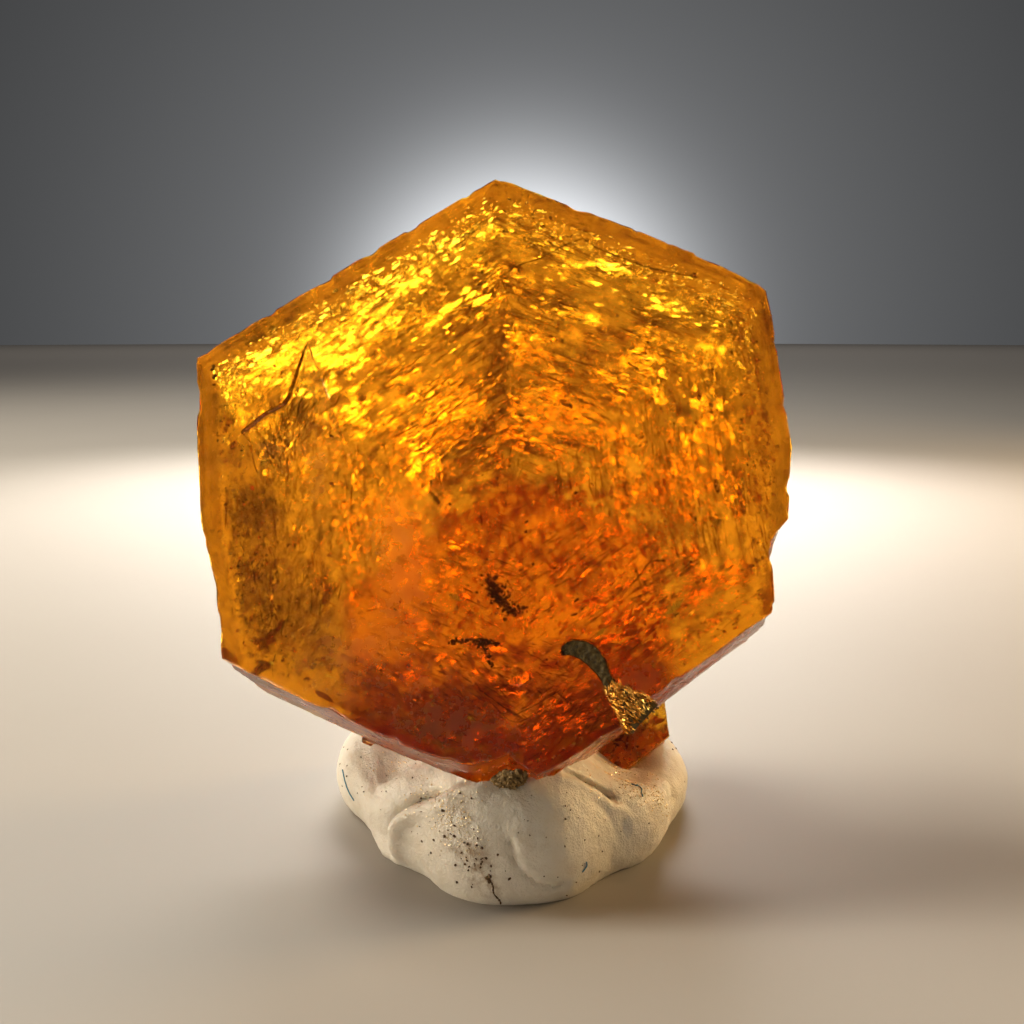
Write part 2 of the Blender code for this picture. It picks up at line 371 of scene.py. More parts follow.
def main_front(x, y):
    """Faint swells and growth steps of the basal face."""
    i, q, t = sectors(x, y)
    h = 0.016 * (fbm2(x / 2.4, y / 2.4, 71) - 0.5) + 0.006 * (fbm2(x / 0.5, y / 0.5, 72) - 0.5)
    terrace = np.floor(q / 0.55 + 1.2 * fbm2(t / 2.5, q / 2.0 + i * 3.1, 73)) * 0.006
    return h - terrace * 0.4


# groove in the basal face: middle line and half width
GROOVE = np.array([(1.80, -6.12, 0.14), (1.98, -6.04, 0.24), (2.20, -6.04, 0.31), (2.58, -6.22, 0.36), (2.88, -6.62, 0.31), (3.06, -7.05, 0.21),
                   (3.24, -7.45, 0.27), (3.56, -7.86, 0.47), (3.98, -8.36, 0.74)])
GROOVE_DEPTH = 0.55


def groove_stations(runout):
    line = catmull(GROOVE, 9)
    end = line[-1] + (line[-1] - line[-10]) / np.linalg.norm((line[-1] - line[-10])[:2]) * runout
    end[2] = line[-1][2]
    line = np.vstack([line, end[None]])
    tan = np.gradient(line[:, :2], axis=0)
    tan /= np.linalg.norm(tan, axis=1)[:, None]
    side = np.column_stack([-tan[:, 1], tan[:, 0]])
    return line, side, tan


def groove_cutter():
    line, side, tan = groove_stations(1.2)
    s = np.arange(len(line))
    wl = line[:, 2] * (1 + 0.20 * (noise2(s / 2.2, 1, 91) - 0.5))
    wr = line[:, 2] * (1 + 0.20 * (noise2(s / 2.2, 7, 92) - 0.5))
    rows = []
    th = np.linspace(0, math.pi, 11)
    for k in range(len(line)):
        a = np.where(np.cos(th) > 0, np.cos(th) * wl[k], np.cos(th) * wr[k])
        b = -GROOVE_DEPTH * np.sin(th) ** 0.7 * (0.85 + 0.3 * noise2(th * 2, k / 3.0, 93))
        xy = line[k, :2] + side[k] * a[:, None]
        ring = np.column_stack([xy, b])
        top = np.array([[*(line[k, :2] - side[k] * wr[k] * 1.08), 0.6], [*(line[k, :2] + side[k] * wl[k] * 1.08), 0.6]])
        rows.append(np.vstack([ring, top]))
    v = np.vstack(rows)
    quads, caps = tube_faces(len(rows), rows[0].shape[0])
    return point_outwards(make_object("groove_tool", v, quads, caps))


STEP_EDGE = np.array([(-5.75, 6.15), (-6.04, 5.54), (-6.32, 4.80), (-6.59, 4.06), (-6.85, 3.52), (-7.31, 3.26), (-7.62, 3.12), (-8.00, 2.80), (-8.35, 2.51),
                      (-8.18, 2.22), (-8.08, 1.90), (-7.98, 1.23), (-7.86, 0.68), (-7.70, 0.10)])
STEP_FOCUS = np.array([-4.6, 1.2])


def chip_cutter():
    """Shallow shell-shaped spall left of the middle, steep at its left edge and rising away from it."""
    edge = catmull(STEP_EDGE, 6)
    n = len(edge)
    s = np.linspace(0, 1, n)
    cols = 26
    w = np.concatenate([[0, 0.012, 0.03, 0.055], np.linspace(0.09, 1, cols - 4)])
    strength = smooth(0.0, 0.20, s) * smooth(1.0, 0.55, s)
    jag = 0.006 * (noise2(s * 25, 1, 60) - 0.5)
    low, top = [], []
    for k in range(n):
        wk = w + jag[k] * np.exp(-w / 0.05)
        p = edge[k] + (STEP_FOCUS - edge[k]) * wk[:, None]
        wall = 1 - np.exp(-w / 0.014)
        d = 0.27 * strength[k] * wall * (1 - w) ** 1.15
        d = d * (1 + 0.05 * np.sin(w * 22 + 2.0 * s[k])) + 0.02 * (fbm2(p[:, 0] / 0.9, p[:, 1] / 0.9, 61) - 0.5) * wall
        z = 0.045 - d - 0.055 * wall * smooth(0.0, 0.2, strength[k])
        z = np.where(w > 0.96, 0.06, z)
        z[0] = 0.10
        low.append(np.column_stack([p, z]))
        top.append(np.column_stack([p, np.full(cols, 0.5)]))
    low, top = np.array(low), np.array(top)
    # ring across each station: low outwards->in, then top back
    rows = [np.vstack([low[k], top[k][::-1]]) for k in range(n)]
    # all stations meet at the focus, keep them a hair apart
    for k in range(n):
        for idx in (cols - 1, cols):
            rows[k][idx, :2] += (edge[k] - STEP_FOCUS) * 0.004
    v = np.vstack(rows)
    quads, caps = tube_faces(n, 2 * cols)
    return point_outwards(make_object("chip_tool", v, quads, caps))


def ball(name, centre, radii, subdiv, rough, seed):
    bm = bmesh.new()
    bmesh.ops.create_icosphere(bm, subdivisions=subdiv, radius=1.0)
    bm.verts.index_update()
    v = np.array([tuple(x.co) for x in bm.verts])
    t = np.array([[x.index for x in f.verts] for f in bm.faces])
    bm.free()
    k = 1 + rough * (fbm3(v[:, 0] * 2.5, v[:, 1] * 2.5, v[:, 2] * 2.5, seed) - 0.5)
    return make_object(name, np.array(centre) + v * k[:, None] * np.array(radii), tris=t)


def notch_cutter():
    return ball("notch_tool", (9.98, -3.75, -0.4), (0.93, 1.05, 2.1), 4, 0.25, 5)


# small three-sided etch pits of the basal face: centre, size, turn (degrees), depth
PITS = [(0.25, -7.12, 0.42, 90, 0.07), (-0.35, -7.55, 0.25, 92, 0.04), (0.9, -7.45, 0.22, 86, 0.04), (1.45, -6.95, 0.16, 90, 0.03),
        (-1.3, -6.9, 0.20, 90, 0.03), (2.3, -3.0, 0.16, 88, 0.03), (-2.6, -4.4, 0.22, 91, 0.03), (4.6, -5.2, 0.2, 90, 0.03),
        (-3.9, -3.4, 0.14, 90, 0.025), (5.9, -2.3, 0.18, 90, 0.03), (-5.4, -4.2, 0.18, 90, 0.03), (-1.9, -8.1, 0.2, 89, 0.03)]


def pit_cutter():
    verts, tris = [], []
    for x, y, r, turn, deep in PITS:
        a = np.radians(turn + np.array([180, 300, 60]))
        top = np.column_stack([x + r * 1.7 * np.cos(a), y + r * 1.7 * np.sin(a), np.full(3, deep * 0.7 + 0.03)])
        tip = np.array([[x, y, -deep]])
        b = len(verts)
        verts += list(np.vstack([top, tip]))
        tris += [(b, b + 1, b + 2), (b, b + 3, b + 1), (b + 1, b + 3, b + 2), (b + 2, b + 3, b)]
    return point_outwards(make_object("pit_tool", np.array(verts), tris=tris))


def foot_box():
    return solid_from_planes("foot_tool", [((0, 0, 1), FOOT_Z), ((0, 0, -1), 12.0), ((1, 0, 0), 15), ((-1, 0, 0), 15), ((0, 1, 0), 15), ((0, -1, 0), 15)], True)


def build_crystal():
    rim = resample(RIM, 0.155)
    arc = np.arange(len(rim)) * 0.155
    bite = 0.03 * noise2(arc / 0.3, 1, 5) + 0.09 * smooth(0.70, 0.95, noise2(arc / 0.6, 2, 6))
    rim = rim - (rim - CORE) / np.linalg.norm(rim - CORE, axis=1)[:, None] * bite[:, None]
    v, quads, tris = table_mesh(rim, CORE, BACK_PLANES, MAIN_DIST, 0.0, -MAIN_THICKNESS, 11, 1.0, main_front, 84, 56, 30)
    main = point_outwards(make_object("mimetite_main", v, quads, tris))

    ang = np.linspace(0, 2 * math.pi, 4000, endpoint=False)
    dirs = np.column_stack([np.cos(ang), np.sin(ang)])
    pts = REAR_CORE + dirs * ray_to_planes(REAR_CORE, dirs, REAR_PLANES)[:, None]
    owner = np.argmin(np.abs(np.stack([pts @ n - d for n, d in REAR_PLANES], -1)), -1)
    rear_rim = resample(pts[np.nonzero(owner != np.roll(owner, 1))[0]], 0.16)
    v, quads, tris = table_mesh(rear_rim, REAR_CORE, REAR_PLANES, REAR_DIST, -REAR_FRONT, -REAR_BACK, 23, 0.5, lambda x, y: 0 * x, 36, 3, 20)
    rear = point_outwards(make_object("mimetite_rear", v, quads, tris))
    bevel = solid_from_planes("bevel_tool", [((-0.42, 0.70, 0.58), -14.3), ((0, 0, 1), 3), ((0, 0, -1), 14), ((1, 0, 0), 20), ((-1, 0, 0), 20), ((0, 1, 0), 20), ((0, -1, 0), 22)])
    rear = combine(rear, [(bevel, "DIFFERENCE")], "mimetite_rear")
    cutters = [foot_box(), groove_cutter(), chip_cutter(), notch_cutter(), pit_cutter()]
    o = combine(main, [(rear, "UNION")] + [(c, "DIFFERENCE") for c in cutters], "crystal")
    smooth_by_angle(o, 14)
    paint_frost(o)
    return o


# hazy patches of the basal face: centre, radii, strength
FROST_PATCHES = [(-5.72, 0.48, 0.55, 1.3, 0.5), (-3.2, -2.6, 1.0, 2.6, 0.5), (-5.0, -5.2, 1.5, 1.3, 0.4), (-2.6, -7.6, 1.6, 1.0, 0.35), (4.4, -7.2, 1.0, 0.6, 0.4), (-1.2, -8.4, 1.6, 0.6, 0.25)]


def paint_frost(o):
    """Per point: how frosted the surface is there (0 clear, 1 matt)."""
    p = to_crystal(mesh_coords(o))
    no = mesh_normals(o) @ AXES.T
    x, y, z = p.T
    front = (no[:, 2] > 0.5) & (z > -1.2)
    back = no[:, 2] < -0.35
    i, q, t = sectors(x, y)
    f = np.array([0.40, 0.16, 0.14, 0.40, 0.50, 0.42])[i]
    clear = 0.20 + 0.14 * fbm2(x / 1.5, y / 1.5, 301)
    for cx, cy, rx, ry, k in FROST_PATCHES:
        g = np.exp(-(((x - cx) / rx) ** 2 + ((y - cy) / ry) ** 2))
        clear = clear + 0.45 * k * g * (0.5 + 0.9 * fbm2(x / 0.5, y / 0.9, 302))
    clear = clear + 0.05 * smooth(-5.2, -7.0, y)
    chip = front & (z < -0.05) & (x > -8.6) & (x < -4.2) & (y > -0.4) & (y < 6.3)
    f[front] = clear[front]
    f[chip] = 0.34
    f[back] = (0.50 + 0.25 * (fbm2(x / 0.9, y / 0.9, 303) - 0.5))[back]
    a = o.data.attributes.new("frost", "FLOAT", "POINT")
    a.data.foreach_set("value", np.clip(f, 0, 1).astype(np.float32))


# ------------------------------------------------------------------ what is sealed in the crystal
def under(x, y, depth):
    """Point at that depth under the basal face which the front view shows at (x, y) on the face."""
    x, y, depth = np.broadcast_arrays(np.asarray(x, float), y, depth)
    eye = to_crystal(CAMERA_AT)
    d = np.stack([x, y, np.zeros_like(x)], -1) - eye
    d /= np.linalg.norm(d, axis=-1)[..., None]
    tx = d[..., :2] / INDEX
    tz = np.sqrt(1 - (tx ** 2).sum(-1))
    return np.stack([x + depth * tx[..., 0] / tz, y + depth * tx[..., 1] / tz, -depth], -1)


def inside_group(p, margin=0.18):
    x, y, z = np.asarray(p).T
    main = (z < -margin) & (z > -(MAIN_THICKNESS - 0.36 - margin))
    for n, d in BACK_PLANES:
        main &= x * n[0] + y * n[1] < d - margin - 0.25
    rear = (z < -(REAR_FRONT + 0.1)) & (z > -(REAR_BACK - 0.25 - margin))
    for n, d in REAR_PLANES:
        rear &= x * n[0] + y * n[1] < d - margin - 0.2
    rear &= 0.42 * x - 0.70 * y - 0.58 * z < (14.3 - margin - 0.1)
    foot = to_frame(np.asarray(p))[:, 2] > FOOT_Z + 0.3
    return (main | rear) & foot


def blades(centre, long_dir, normal, length, width, thick, rng, jitter=0.25):
    """Thin closed lens-like blades: eight points and twelve triangles each."""
    n = len(centre)
    long_dir = long_dir - normal * (long_dir * normal).sum(-1)[:, None]
    long_dir /= np.linalg.norm(long_dir, axis=1)[:, None]
    side = np.cross(normal, long_dir)
    a = np.array([1.0, 0.42, -0.42, -1.0, -0.42, 0.42])
    b = np.array([0.0, 1.0, 1.0, 0.0, -1.0, -1.0])
    A = a[None] * (1 + jitter * (rng.random((n, 6)) - 0.5))
    B = b[None] * (1 + 2 * jitter * (rng.random((n, 6)) - 0.5))
    rim = centre[:, None] + long_dir[:, None] * (A * length[:, None] / 2)[..., None] + side[:, None] * (B * width[:, None] / 2)[..., None]
    up = centre + normal * (thick / 2)[:, None]
    dn = centre - normal * (thick / 2)[:, None]
    v = np.concatenate([rim, up[:, None], dn[:, None]], 1)
    k = np.arange(6)
    kn = (k + 1) % 6
    f = np.vstack([np.column_stack([k, kn, np.full(6, 6)]), np.column_stack([kn, k, np.full(6, 7)])])
    tris = (f[None] + 8 * np.arange(n)[:, None, None]).reshape(-1, 3)
    return v.reshape(-1, 3), tris


def tilt_normal(azimuth, tilt):
    return np.stack([np.sin(tilt) * np.cos(azimuth), np.sin(tilt) * np.sin(azimuth), np.cos(tilt)], -1)


KEY_AT = np.array([-160.0, 90.0, 236.0])


def mirror_normal(p):
    """Lie of a facet at p that throws the key light, come in through the upper prism faces, out through the basal face to the front."""
    eye = to_crystal(CAMERA_AT)
    d = p - eye
    d /= np.linalg.norm(d, axis=1)[:, None]
    t = d[:, :2] / INDEX
    sight = np.column_stack([t, -np.sqrt(1 - (t ** 2).sum(1))])
    to_key = to_crystal(KEY_AT) - p
    to_key /= np.linalg.norm(to_key, axis=1)[:, None]
    best = np.full(len(p), -1.0)
    ray = np.zeros_like(p)
    for k in (1, 2):                      # refracted in through the upper right or upper left face, whichever is met squarer
        n = np.array([*FACE_DIRS[k], 0.0])
        c1 = to_key @ n
        c2 = np.sqrt(1 - (1 - c1 ** 2) / INDEX ** 2)
        r = to_key / INDEX + (c2 - c1 / INDEX)[:, None] * n
        # which face does the line from p toward the light leave by
        reach = (MAIN_DIST[k] - p @ n) / (r @ n)
        other = 3 - k
        m = np.array([*FACE_DIRS[other], 0.0])
        score = MAIN_DIST[other] - (p + r * reach[:, None]) @ m
        use = score > best
        best = np.where(use, score, best)
        ray[use] = r[use]
    h = ray - sight
    return h / np.linalg.norm(h, axis=1)[:, None]


def scatter(rng, count, mask, depth_range):
    """Random places seen through the basal face, kept where mask(x, y) beats a random number."""
    out = np.zeros((0, 3))
    seen = np.zeros((0, 2))
    lo, hi = RIM.min(0), RIM.max(0)
    while len(out) < count:
        xy = lo + (hi - lo) * rng.random((count * 3, 2))
        keep = rng.random(len(xy)) < mask(xy[:, 0], xy[:, 1])
        xy = xy[keep]
        d = depth_range[0] + (depth_range[1] - depth_range[0]) * rng.random(len(xy))
        p = under(xy[:, 0], xy[:, 1], d)
        ok = inside_group(p)
        out, seen = np.vstack([out, p[ok]]), np.vstack([seen, xy[ok]])
    return out[:count], seen[:count]


GLEAM_CLUSTERS = [  # x, y, radius x, radius y, how many
    (-6.17, 5.75, 0.9, 0.35, 60), (-5.19, 4.31, 0.8, 0.35, 80), (-4.2, 5.9, 1.0, 0.3, 60), (-6.9, 4.9, 0.5, 0.5, 40), (-7.6, 5.2, 0.5, 0.3, 26),
    (-2.15, 0.68, 0.35, 0.25, 36), (-2.54, 7.39, 0.9, 0.25, 40), (-0.62, 8.84, 0.7, 0.25, 16), (-3.3, 2.6, 0.9, 0.3, 46), (-2.2, 1.7, 0.6, 0.3, 26),
    (-1.2, 2.4, 0.6, 0.25, 30), (-4.4, 3.0, 0.7, 0.3, 40), (-1.0, 6.0, 0.7, 0.25, 14), (-0.1, 7.3, 0.5, 0.25, 8),
    (5.08, 7.70, 0.30, 0.16, 26), (5.68, 4.05, 0.35, 0.25, 24), (2.71, 2.80, 0.25, 0.12, 16), (7.53, 2.16, 0.25, 0.25, 18), (5.68, -0.98, 0.3, 0.35, 20),
    (1.15, 1.27, 0.2, 0.2, 12), (6.9, 5.9, 0.5, 0.3, 16), (3.8, 5.6, 0.7, 0.25, 18), (8.4, 4.2, 0.25, 0.5, 14), (3.1, 8.4, 0.8, 0.2, 18),
    (6.6, -0.4, 0.5, 0.6, 30), (7.6, 0.4, 0.5, 0.8, 34), (4.6, 1.2, 0.7, 0.3, 24), (3.4, 1.9, 0.7, 0.3, 20), (6.2, 2.6, 0.5, 0.4, 22), (8.7, 1.2, 0.3, 0.9, 22), (8.9, -1.6, 0.3, 0.7, 18),
    (4.3, -2.6, 0.5, 0.4, 18), (5.6, -3.6, 0.5, 0.5, 22), (6.9, -4.3, 0.7, 0.3, 22), (3.6, -5.0, 0.5, 0.4, 14), (-8.2, -5.2, 0.5, 0.3, 16), (-7.6, -4.6, 0.4, 0.4, 14), (-5.2, -3.6, 0.6, 0.2, 10),
    (0.0, -7.0, 1.8, 0.5, 30), (-2.0, -7.4, 1.2, 0.4, 24), (1.5, -8.2, 1.0, 0.3, 18), (-3.6, -6.6, 1.0, 0.4, 18), (3.0, -7.2, 0.6, 0.3, 14)]


def gleam_mask(x, y):
    i, q, t = sectors(x, y)
    sector = np.array([0.56, 0.52, 0.88, 0.26, 0.17, 0.54])[i]
    side = np.where(i == 2, 0.30 + 0.70 * smooth(-3.0, 2.2, t), 1.0)
    band = smooth(0.4, 2.2, q) * smooth(9.3, 8.2, q)
    cl = smooth(0.42, 0.68, fbm2(t / 2.4 + i * 7, q / 0.7, 401, 4))
    left = 0.10 + 1.15 * smooth(0.6, 3.0, y)
    rim = np.select([i == 0, i == 1, i == 2, i == 3], [1.2, 0.9, 0.9, left], 0.25) * smooth(7.2, 8.8, q) * smooth(9.6, 9.25, q)
    return np.maximum(sector * side * band * (0.08 + cl), 0.90 * rim * (0.4 + 0.9 * fbm2(x / 0.6, y / 0.6, 402)))


def build_gleams():
    rng = np.random.default_rng(101)
    base, _ = scatter(rng, 11400, gleam_mask, (0.35, 6.0))
    parts = [base]
    for x, y, rx, ry, k in GLEAM_CLUSTERS:
        i, q, t = sectors(np.array([x]), np.array([y]))
        along = np.array([-FACE_DIRS[i[0], 1], FACE_DIRS[i[0], 0]])
        out = FACE_DIRS[i[0]]
        g = rng.normal(size=(k, 2)) * (rx, ry)
        xy = np.array([x, y]) + g[:, :1] * along + g[:, 1:] * out
        d = rng.uniform(0.8, 5.6, 1) + rng.normal(size=k) * 0.5
        p = under(xy[:, 0], xy[:, 1], np.clip(d, 0.4, 5.9))
        parts.append(p[inside_group(p)])
    big = np.zeros(sum(len(a) for a in parts), bool)
    big[len(base):] = True
    c = np.vstack(parts)
    n = len(c)
    i, q, t = sectors(c[:, 0], c[:, 1])
    own = FACE_ANGLES[i]
    lit = rng.random(n) < np.where(big, 0.97, np.array([0.82, 0.75, 0.85, 0.82, 0.6, 0.72])[i])
    slip = rng.normal(size=(n, 3)) * np.where(big, 0.030, 0.06)[:, None]
    bright = mirror_normal(c) + slip
    bright /= np.linalg.norm(bright, axis=1)[:, None]
    az = own + rng.normal(size=n) * 0.2
    tilt = np.radians(39.0) + rng.normal(size=n) * 0.25
    normal = np.where(lit[:, None], bright, tilt_normal(az, tilt))
    long_dir = np.stack([-np.sin(own), np.cos(own), rng.normal(size=n) * 0.25], -1)
    length = np.clip(np.exp(rng.normal(size=n) * 0.5) * np.where(big, 0.30, np.where(q > 7.8, 0.12, 0.18)), 0.06, 0.9)
    width = length * np.where(big, rng.uniform(0.22, 0.55, n), rng.uniform(0.16, 0.42, n))
    v, f = blades(c, long_dir, normal, length, width, np.maximum(width * 0.03, 0.0025), rng, 0.5)
    return make_object("growth_gleams", v, tris=f)


def streak_mask(x, y):
    i, q, t = sectors(x, y)
    sector = np.array([0.75, 0.95, 0.95, 0.25, 0.40, 0.60])[i]
    band = smooth(0.2, 1.5, q) * smooth(9.4, 8.4, q)
    cl = smooth(0.34, 0.62, fbm2(t / 3.0 + i * 5, q / 0.55, 411, 4))
    axis = 1.0 * np.exp(-((x - 0.95) / 1.6) ** 2) * (y > 0)
    return sector * band * (0.10 + 0.75 * cl + 0.3 * axis)


def build_streaks():
    rng = np.random.default_rng(131)
    c, _ = scatter(rng, 5000, streak_mask, (0.5, 6.0))
    n = len(c)
    i, q, t = sectors(c[:, 0], c[:, 1])
    own = FACE_ANGLES[i] + rng.normal(size=n) * 0.05
    long_dir = np.stack([-np.sin(own), np.cos(own), rng.normal(size=n) * 0.12], -1)
    normal = tilt_normal(own + math.pi * (rng.random(n) < 0.5), np.radians(rng.uniform(0, 50, n)))
    length = np.clip(np.exp(rng.normal(size=n) * 0.55) * 0.55, 0.12, 2.4)
    width = rng.uniform(0.014, 0.040, n)
    v, f = blades(c, long_dir, normal, length, width, width * 0.5, rng, 0.4)
    return make_object("growth_streaks", v, tris=f)


# painted shade: the clouds at (-7.2, 1.9) and (-6.3, 2.9), right of the chip's edge, are dark olive fibres standing for
# the shade behind the chip's fracture; the other clouds are olive fibres of the crystal
OLIVE_VEILS_AND_CHIP_SHADE = [
    (-7.9, -0.3, 0.8, 0.7, 420, 4.0, 1.0, 100), (-7.9, -2.6, 1.0, 1.9, 900, 3.4, 1.5, 92), (-6.4, -4.2, 1.2, 1.3, 620, 3.4, 1.5, 70), (-5.6, -1.8, 1.0, 1.8, 480, 3.6, 1.4, 90),
    (-7.2, 1.9, 0.5, 1.0, 230, 1.4, 0.5, 100), (-6.3, 2.9, 0.6, 0.9, 190, 1.6, 0.5, 60), (-4.2, 0.8, 1.4, 1.0, 300, 4.0, 1.2, 35),
    (0.6, 3.0, 0.5, 2.4, 360, 3.5, 1.4, 90), (-2.0, 7.0, 1.4, 0.6, 300, 3.5, 1.4, 31), (0.2, 1.2, 1.5, 0.8, 280, 4.2, 1.0, 10), (2.6, 6.6, 1.2, 0.6, 200, 3.5, 1.2, -22)]
GROWTH_VEILS_AND_CHIP_SHADE = [  # x, y, radius x, radius y, how many, depth, spread of depth, turn of the fibres (degrees); the first four clouds, right of the chip's edge, are painted shade: dark fibres standing for the shade behind the chip's fracture
    (-7.2, 1.9, 0.6, 1.0, 240, 1.2, 0.5, 100), (-6.2, 2.6, 0.8, 0.9, 200, 1.4, 0.5, 60), (-6.3, 0.6, 0.9, 0.9, 200, 1.5, 0.5, 80), (-6.5, 3.6, 0.3, 0.6, 70, 1.0, 0.3, 75),
    (-7.9, -0.4, 0.8, 0.8, 300, 4.2, 0.8, 95), (-7.7, -2.8, 1.0, 1.8, 620, 3.6, 1.3, 92), (-6.3, -4.4, 1.1, 1.2, 420, 3.6, 1.3, 60),
    (-4.6, -1.5, 1.0, 1.6, 460, 3.0, 1.2, 90), (-3.0, -5.6, 1.3, 1.3, 420, 2.6, 1.2, -25), (-1.6, 0.4, 1.2, 0.7, 300, 4.0, 1.0, 30),
    (0.0, -7.0, 1.9, 0.9, 480, 1.2, 0.5, -32), (1.8, -8.2, 1.3, 0.6, 260, 1.0, 0.4, 30), (-2.5, -8.0, 1.4, 0.5, 260, 1.2, 0.5, -20),
    (1.0, 5.0, 0.7, 2.6, 420, 3.5, 1.4, 90), (3.2, 3.6, 1.6, 0.9, 300, 4.0, 1.2, -22), (6.4, -2.4, 0.9, 1.8, 260, 4.0, 1.2, 90)]


RED_VEILS = [
    (0.6, -2.2, 2.0, 1.1, 420, 4.6, 0.9, 90), (-0.9, -4.6, 1.5, 1.2, 220, 4.0, 0.9, 70), (2.8, -3.6, 1.6, 1.2, 280, 4.2, 0.9, 100), (1.2, -0.5, 1.3, 0.45, 150, 4.9, 0.5, 0),
    (4.0, -5.6, 1.4, 1.0, 180, 2.5, 1.0, 40), (-1.2, -1.3, 1.7, 0.3, 130, 5.3, 0.4, 30), (2.6, -1.1, 1.7, 0.3, 130, 5.3, 0.4, -28), (5.6, -2.4, 0.8, 1.6, 160, 4.0, 1.2, 90)]


def build_foot_veil():
    """Fibres and shreds low in both crystals, over the broken foot."""
    rng = np.random.default_rng(147)
    n = 9000
    xy = np.column_stack([rng.uniform(-6.0, 5.0, n), rng.uniform(-9.8, -5.6, n)])
    keep = rng.random(n) < smooth(-5.4, -7.2, xy[:, 1]) * (0.25 + 0.75 * smooth(0.35, 0.62, fbm2(xy[:, 0] / 1.6, xy[:, 1] / 0.5, 431)))
    xy = xy[keep]
    c = under(xy[:, 0], xy[:, 1], 1.0 + 8.6 * rng.random(len(xy)))
    c = c[inside_group(c, 0.10)]
    n = len(c)
    a = np.radians(np.where(c[:, 0] < 0.5, -31.0, 29.0)) + rng.normal(size=n) * 0.35
    normal = tilt_normal(rng.uniform(0, 2 * math.pi, n), np.radians(rng.uniform(0, 50, n)))
    bright = mirror_normal(c) + rng.normal(size=(n, 3)) * 0.15
    bright /= np.linalg.norm(bright, axis=1)[:, None]
    normal = np.where((rng.random(n) < 0.6)[:, None], bright, normal)
    long_dir = np.stack([np.cos(a), np.sin(a), rng.normal(size=n) * 0.2], -1)
    length = np.clip(np.exp(rng.normal(size=n) * 0.5) * 0.40, 0.12, 1.3)
    width = length * rng.uniform(0.08, 0.3, n)
    v, f = blades(c, long_dir, normal, length, width, np.maximum(width * 0.1, 0.006), rng, 0.5)
    return make_object("foot_veil", v, tris=f)


def build_veils(name, clouds, seed, wide=1.0):
    """Clouds of hair-fine fibres which dull the clear body; the clouds right of the chip's edge are painted shade."""
    rng = np.random.default_rng(seed)
    cs, turns = [], []
    for x, y, rx, ry, count, deep, spread, turn in clouds:
        xy = rng.normal(size=(count, 2)) * (rx * 0.7, ry * 0.7) + (x, y)
        p = under(xy[:, 0], xy[:, 1], np.clip(deep + rng.normal(size=count) * spread, 0.55, 6.0))
        p = p[inside_group(p)]
        cs.append(p)
        turns.append(np.radians(turn) + rng.normal(size=len(p)) * 0.25)
    c, a = np.vstack(cs), np.concatenate(turns)
    n = len(c)
    long_dir = np.stack([np.cos(a), np.sin(a), rng.normal(size=n) * 0.2], -1)
    normal = tilt_normal(rng.uniform(0, 2 * math.pi, n), np.radians(rng.uniform(0, 60, n)))
    length = np.clip(np.exp(rng.normal(size=n) * 0.5) * 0.30, 0.08, 1.2)
    width = rng.uniform(0.010, 0.034, n) * wide
    v, f = blades(c, long_dir, normal, length, width, width * 0.5, rng, 0.5)
    return make_object(name, v, tris=f)


def build_motes():
    """Dust-fine sparkling points all through the crystal."""
    rng = np.random.default_rng(151)

    def mask(x, y):
        i, q, t = sectors(x, y)
        rim = np.array([0.9, 0.9, 1.0, 1.0, 0.5, 0.6])[i] * smooth(6.8, 8.6, q)
        return np.clip(0.12 + 0.38 * smooth(0.35, 0.65, fbm2(x / 1.3, y / 1.3, 421, 4)) + 0.5 * rim, 0, 1)
    c, _ = scatter(rng, 15000, mask, (0.25, 6.0))
    n = len(c)
    az = rng.uniform(0, 2 * math.pi, n)
    bright = mirror_normal(c) + rng.normal(size=(n, 3)) * 0.07
    bright /= np.linalg.norm(bright, axis=1)[:, None]
    normal = np.where((rng.random(n) < 0.6)[:, None], bright, tilt_normal(az, np.radians(rng.uniform(15, 65, n))))
    own = rng.uniform(0, 2 * math.pi, n)
    long_dir = np.stack([-np.sin(own), np.cos(own), rng.normal(size=n) * 0.3], -1)
    size = np.clip(np.exp(rng.normal(size=n) * 0.45) * 0.066, 0.022, 0.18)
    v, f = blades(c, long_dir, normal, size, size * rng.uniform(0.5, 1.0, n), size * 0.08, rng, 0.6)
    return make_object("growth_motes", v, tris=f)


def grains(centres, radii, seed, rough=0.35):
    """Angular grains: jittered twenty-sided bodies."""
    rng = np.random.default_rng(seed)
    bm = bmesh.new()
    bmesh.ops.create_icosphere(bm, subdivisions=1, radius=1.0)
    bm.verts.index_update()
    base = np.array([tuple(x.co) for x in bm.verts])
    f = np.array([[x.index for x in t.verts] for t in bm.faces])
    bm.free()
    n, m = len(centres), len(base)
    q = rng.normal(size=(n, 4))
    q /= np.linalg.norm(q, axis=1)[:, None]
    w, x, y, z = q.T
    rot = np.stack([1 - 2 * (y * y + z * z), 2 * (x * y - z * w), 2 * (x * z + y * w), 2 * (x * y + z * w), 1 - 2 * (x * x + z * z), 2 * (y * z - x * w),
                    2 * (x * z - y * w), 2 * (y * z + x * w), 1 - 2 * (x * x + y * y)], -1).reshape(n, 3, 3)
    v = base[None] * (1 + rough * (rng.random((n, m, 1)) - 0.5) * 2) * (rng.uniform(0.6, 1.25, (n, 1, 3)))
    v = np.einsum("nij,nmj->nmi", rot, v) * np.asarray(radii)[:, None, None] + np.asarray(centres)[:, None]
    return v.reshape(-1, 3), (f[None] + m * np.arange(n)[:, None, None]).reshape(-1, 3)


def fill_polyline(rng, pts, width, count):
    """Random places in a ribbon round a polyline in face coordinates."""
    pts = np.asarray(pts, float)
    seg = np.linalg.norm(np.diff(pts, axis=0), axis=1)
    k = rng.choice(len(seg), count, p=seg / seg.sum())
    f = rng.random(count)
    p = pts[k] + (pts[k + 1] - pts[k]) * f[:, None]
    return p + rng.normal(size=(count, 2)) * width


